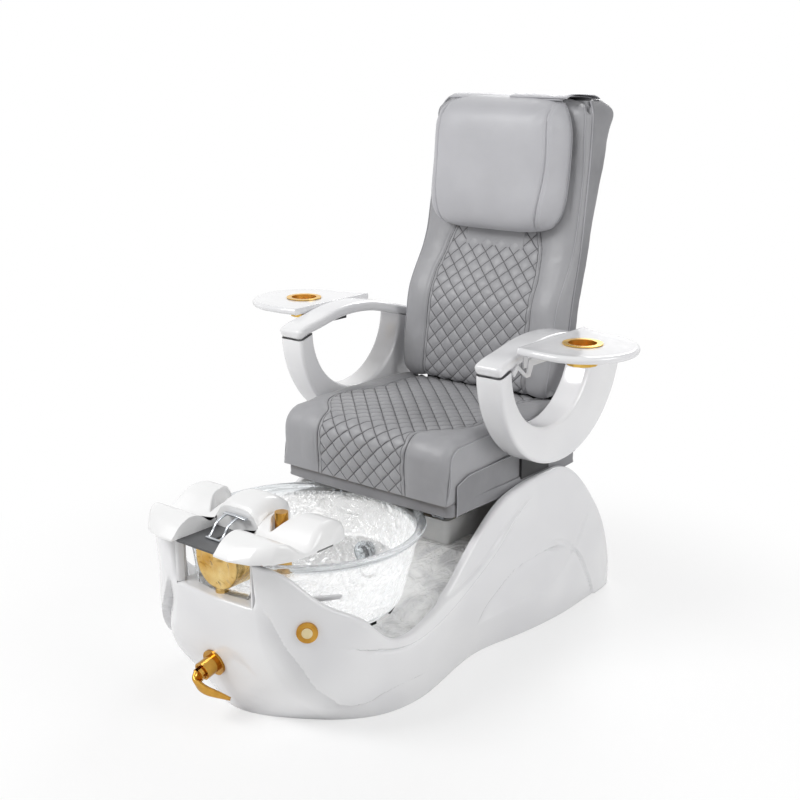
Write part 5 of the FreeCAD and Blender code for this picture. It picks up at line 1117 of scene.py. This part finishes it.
def foot_bracket():
    """The chrome frame in the pad's slot: two bent side bars, a foot bar and a broad head bar under the hump."""
    for name, x, nodes in (("far", -20.0, ["footrest_head"]), ("near", 17.0, [])):
        path = [(x, -590, 431), (x, -580, 436), (x, -564, 456), (x, -530, 469)]
        place(tapered("foot_bracket_bar_" + name, path, (6, 6), (5, 5), "chrome"), "footrest", *nodes)
    for name, path, wide, thick in (("foot", [(-24, -590, 432), (0, -590, 432), (21, -590, 432)], 6, 5),
                                    ("head", [(-26, -530, 470), (6, -530, 471), (40, -530, 469)], 12, 6)):
        place(tapered("foot_bracket_" + name, path, (wide, wide), (thick, thick), "chrome", (0, 1, 0)), "footrest")


def mixer_tongue():
    """The mixer's lever: a broad tongue that leaves the end of the body and tapers off along the hull."""
    path = [(-30, -622, 112), (-27, -633, 98), (-8, -634, 86), (20, -622, 77), (50, -606, 68)]
    obj = tapered("mixer_tongue", path, (30, 30, 24, 18, 9), (12, 16, 11, 8, 5), "gold", flat=(0.25, 0.3, -0.9))
    place(obj, "lever", "mixer_lever")


def bowl():
    """The foot bowl: one closed wall of cast resin, crinkled outside, with a thick rolled rim that dips at the
    spout."""
    turn = np.linspace(0, 2 * math.pi, 241)
    notch = 1 - smoothstep(np.abs(np.degrees(turn) - 180.0), 14.5, 24.0)
    section = [(22, 176), (120, 176), (172, 178), (206, 188), (222, 200), (238, 250), (252, 300), (262, 340),
               (268, 364), (272, 374), (280, 378), (284, 381), (284, 385), (279, 388), (268, 388), (262, 383),
               (258, 366), (252, 340), (242, 300), (228, 250), (213, 203), (198, 192), (168, 185), (120, 184),
               (22, 184)]
    wall = along(section, np.linspace(0, 1, 170))
    wall[:, 0] = np.maximum(wall[:, 0], 22)
    ways = np.stack([np.sin(turn), np.cos(turn)], -1)
    rows = []
    lip, dip, flat_r, flat_z = 366, 84, 190, 190  # the rim's foot, the dip's depth and the flat bottom's end
    for radius, level in wall:
        z = level - notch * smoothstep(level, 292, 388) * dip
        spots = np.c_[radius * ways + [0, BOWL_Y], z]
        if radius > flat_r:
            crinkle = 1.4 * math.sin(math.pi * min(1, max(0, (level - flat_z) / 190)))
            spots[:, :2] += ways * (crinkle * rough(spots, 26, 12))[:, None]
        rows.append(spots)
    obj = grids_piece("foot_bowl", [np.stack(rows + rows[:1])], "crystal", merge=0.0)
    obj.data.materials.append(finishes["clear"])
    rim = np.repeat(wall[:, 1] > lip, len(turn) - 1)[: len(obj.data.polygons)]
    obj.data.polygons.foreach_set("material_index", rim.astype(np.int32))
    place(obj, "base", "bowl")


# Studio
def studio(look):
    """Pale floor, white surroundings, three soft lamps and the camera at the photograph's view."""
    scene = bpy.context.scene
    scene.view_settings.view_transform = "Standard"
    world = bpy.data.worlds.new("white_studio")
    world.use_nodes = True
    tree = world.node_tree
    path = add(tree, "ShaderNodeLightPath").outputs
    seen = add(tree, "ShaderNodeMath", {0: path["Is Camera Ray"], 1: path["Is Glossy Ray"]}, operation="MAXIMUM")
    clear = add(tree, "ShaderNodeMath", {0: seen, 1: path["Is Transmission Ray"]}, operation="MAXIMUM")
    level = add(tree, "ShaderNodeMapRange", {"Value": clear, "To Min": look.sky, "To Max": 1.0})
    join(tree, tree.nodes["Background"], {"Color": (1.0, 1.0, 1.0, 1.0), "Strength": level})
    scene.world = world
    # painted floor: matt white, faintly mottled; it turns to the backdrop's white with its distance from the chair
    mat, tree, shader, spot = blank("Studio_floor_pale")
    speck = add(tree, "ShaderNodeTexNoise", {"Scale": 3.0, "Detail": 2.0})
    tint = add(tree, "ShaderNodeValToRGB", {"Fac": speck}, [(0.3, "#F6F6F6"), (0.7, "#FAFAFA")])
    join(tree, shader, {"Base Color": tint, "Roughness": 0.8})
    away = add(tree, "ShaderNodeVectorMath", {0: spot}, operation="LENGTH").outputs["Value"]
    fade = add(tree, "ShaderNodeMapRange", {"Value": away, "From Min": 0.7, "From Max": 1.5, "To Min": 0.55,
                                            "To Max": 1.0}, interpolation_type="SMOOTHSTEP")
    seen = add(tree, "ShaderNodeLightPath").outputs["Is Camera Ray"]
    share = add(tree, "ShaderNodeMath", {0: seen, 1: fade}, operation="MULTIPLY")
    glow = add(tree, "ShaderNodeEmission", {"Color": (1, 1, 1, 1), "Strength": 1.0})
    lit = add(tree, "ShaderNodeMixShader", {"Fac": share, 1: shader, 2: glow})
    join(tree, tree.nodes["Material Output"], {"Surface": lit})
    far = 9000
    points = [(-far, -far, -1.0), (far, -far, -1.0), (far, far, -1.0), (-far, far, -1.0)]
    finishes["floor"] = mat
    mesh_piece("studio_floor", points, [[0, 1, 2, 3]], "floor", smooth=False)
    for name, spot, width, power in (("key_softbox", (-1.6, -2.6, 3.2), 1.8, look.key),
                                     ("side_softbox", (3.2, 0.2, 2.2), 1.8, look.key * 0.45),
                                     ("back_softbox", (-0.8, 2.8, 2.6), 1.6, look.key * 0.5)):
        lamp = bpy.data.lights.new(name, "AREA")
        lamp.shape, lamp.size, lamp.size_y, lamp.energy = "RECTANGLE", width, width * 0.8, power
        obj = bpy.data.objects.new(name, lamp)
        obj.location = spot
        obj.rotation_euler = (Vector((0, 0, 0.6)) - Vector(spot)).to_track_quat("-Z", "Y").to_euler()
        scene.collection.objects.link(obj)
    # the view that fits the photograph
    lens = bpy.data.cameras.new("photo_view")
    lens.lens, lens.sensor_width, lens.sensor_fit = 56.8, 36.0, "AUTO"
    camera = bpy.data.objects.new("photo_view", lens)
    camera.location = (1.9416, -2.3312, 1.4690)
    camera.rotation_euler = (math.radians(90 - 15.63), 0, math.radians(39.14))
    scene.collection.objects.link(camera)
    scene.camera = camera


# The chair as an add-on; first the finishes of the nodes that stay as the frame gives them
CAD_FINISHES = {
    "pearl": ("basin_deck",),
    "powder": ("base_frame", "seat_frame", "back_frame", "jet_motor", "tray_hinge_right"),
    "rubber": ("levelling_feet",),
    "white": ("rear_door", "tray_hinge_left", "bowl_seal"),
    "poly": ("seat_plinth", "drain_trap", "slide_carriages", "massage_carriage", "massage_rollers"),
    "zinc": ("slide_rails", "slide_rod", "arm_bolts", "recline_pins", "massage_screw", "footrest_pin",
             "air_button_spring", "footrest_post"),
    "nylon": ("slide_actuator", "recline_motor", "massage_motor", "control_box", "jet_impeller"),
    "ply": ("seat_board",),
    # the cups take the gold plate painted brighter, as painted light on their insides
    "gold_cup": ("cup_left", "cup_right"),
    "gold": ("hand_shower", "mixer_body", "mixer_stem", "air_button_ring"),
    "gold_cast": ("spout_body",),
    "gold_pale": ("air_button_cap",),
    "chrome": ("drain_flange", "drain_stopper"),
    "plate": ("footrest_plate",),
    "brass": ("water_inlets",),
    "clear": ("jet_housing", "jet_cover"),
}


class SpaChairLook(bpy.types.PropertyGroup):
    """Sizes, colours and lamp levels that a user would change."""

    quilt_pitch: FloatProperty(name="Quilt pitch", description="Width of one stitched diamond", default=0.045,
                               min=0.015, max=0.08, unit="LENGTH")
    sky: FloatProperty(name="Sky level", description="Strength of the even light from all round", default=0.36,
                       min=0.0, max=2.0)
    key: FloatProperty(name="Key lamp", description="Power of the large lamp in front", default=92.0, min=0.0,
                       max=500.0, unit="POWER")
    seat_pale: FloatVectorProperty(name="Seat hide", description="Lighter tone of the quilted leather",
                                   default=linear("#A2A2A5")[:3], subtype="COLOR", min=0.0, max=1.0)
    white_pale: FloatVectorProperty(name="Moulding white", description="Lighter tone of the white mouldings",
                                    default=linear("#EDEDEE")[:3], subtype="COLOR", min=0.0, max=1.0)
    gold_pale: FloatVectorProperty(name="Gold plate", description="Lighter tone of the polished gold plate",
                                   default=linear("#D9A850")[:3], subtype="COLOR", min=0.0, max=1.0)


class SPACHAIR_OT_finishes(bpy.types.Operator):
    """Makes every finish and dresses the mechanical nodes that stay as they are"""

    bl_idname = "spachair.finishes"
    bl_label = "Finishes"

    def execute(self, context):
        make_finishes(context.scene.spa_chair)
        for finish, names in CAD_FINISHES.items():
            for name in names:
                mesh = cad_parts[name].data
                mesh.materials.clear()
                mesh.materials.append(finishes[finish])
        return {"FINISHED"}


class SPACHAIR_OT_base(bpy.types.Operator):
    """Builds the white base moulding"""

    bl_idname = "spachair.base"
    bl_label = "Base moulding"

    def execute(self, context):
        place(base_moulding(), "base", "base_shell")
        return {"FINISHED"}


class SPACHAIR_OT_bowl(bpy.types.Operator):
    """Builds the clear foot bowl"""

    bl_idname = "spachair.bowl"
    bl_label = "Foot bowl"

    def execute(self, context):
        bowl()
        return {"FINISHED"}


class SPACHAIR_OT_footrest(bpy.types.Operator):
    """Builds the footrest pad, its chrome frame and the mixer's lever"""

    bl_idname = "spachair.footrest"
    bl_label = "Footrest pad"

    def execute(self, context):
        foot_pad()
        foot_bracket()
        mixer_tongue()
        return {"FINISHED"}


class SPACHAIR_OT_seat(bpy.types.Operator):
    """Builds the seat's cover and its apron"""

    bl_idname = "spachair.seat"
    bl_label = "Seat"

    def execute(self, context):
        seat_cushion(context.scene.spa_chair)
        apron()
        return {"FINISHED"}


class SPACHAIR_OT_back(bpy.types.Operator):
    """Builds the back's quilted cushion and its covered shell"""

    bl_idname = "spachair.back"
    bl_label = "Back"

    def execute(self, context):
        back_cushion(context.scene.spa_chair)
        back_cover()
        return {"FINISHED"}


class SPACHAIR_OT_headrest(bpy.types.Operator):
    """Builds the headrest pillow and its flap"""

    bl_idname = "spachair.headrest"
    bl_label = "Headrest"

    def execute(self, context):
        pillow()
        flap()
        return {"FINISHED"}


class SPACHAIR_OT_arms(bpy.types.Operator):
    """Builds both arms: crescent, cap and tray"""

    bl_idname = "spachair.arms"
    bl_label = "Arms and trays"

    def execute(self, context):
        for side, (sign, node) in SIDES.items():
            crescent(side, sign, node)
            arm_cap(side, sign, node)
            tray(side, sign, node)
        return {"FINISHED"}


class SPACHAIR_OT_stage(bpy.types.Operator):
    """Sets the pale floor, the white surroundings, the lamps and the camera"""

    bl_idname = "spachair.stage"
    bl_label = "Studio"

    def execute(self, context):
        studio(context.scene.spa_chair)
        return {"FINISHED"}


OPERATORS = (SPACHAIR_OT_finishes, SPACHAIR_OT_base, SPACHAIR_OT_bowl, SPACHAIR_OT_footrest, SPACHAIR_OT_seat,
             SPACHAIR_OT_back, SPACHAIR_OT_headrest, SPACHAIR_OT_arms, SPACHAIR_OT_stage)


class SPACHAIR_PT_panel(bpy.types.Panel):
    """Lists the chair's pieces in the sidebar"""

    bl_label = "Spa chair"
    bl_space_type = "VIEW_3D"
    bl_region_type = "UI"
    bl_category = "Spa chair"

    def draw(self, context):
        look = context.scene.spa_chair
        for name in look.__annotations__:
            self.layout.prop(look, name)
        for operator in OPERATORS:
            self.layout.operator(operator.bl_idname)


CLASSES = (SpaChairLook,) + OPERATORS + (SPACHAIR_PT_panel,)


def register():
    """Makes the chair's properties, operators and panel known."""
    for cls in CLASSES:
        bpy.utils.register_class(cls)
    bpy.types.Scene.spa_chair = PointerProperty(type=SpaChairLook)


def unregister():
    """Takes them out again."""
    del bpy.types.Scene.spa_chair
    for cls in reversed(CLASSES):
        bpy.utils.unregister_class(cls)


def main():
    """Runs the operators in order."""
    register()
    for operator in OPERATORS:
        group, name = operator.bl_idname.split(".")
        getattr(getattr(bpy.ops, group), name)()
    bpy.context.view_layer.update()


if __name__ == "__main__":
    main()
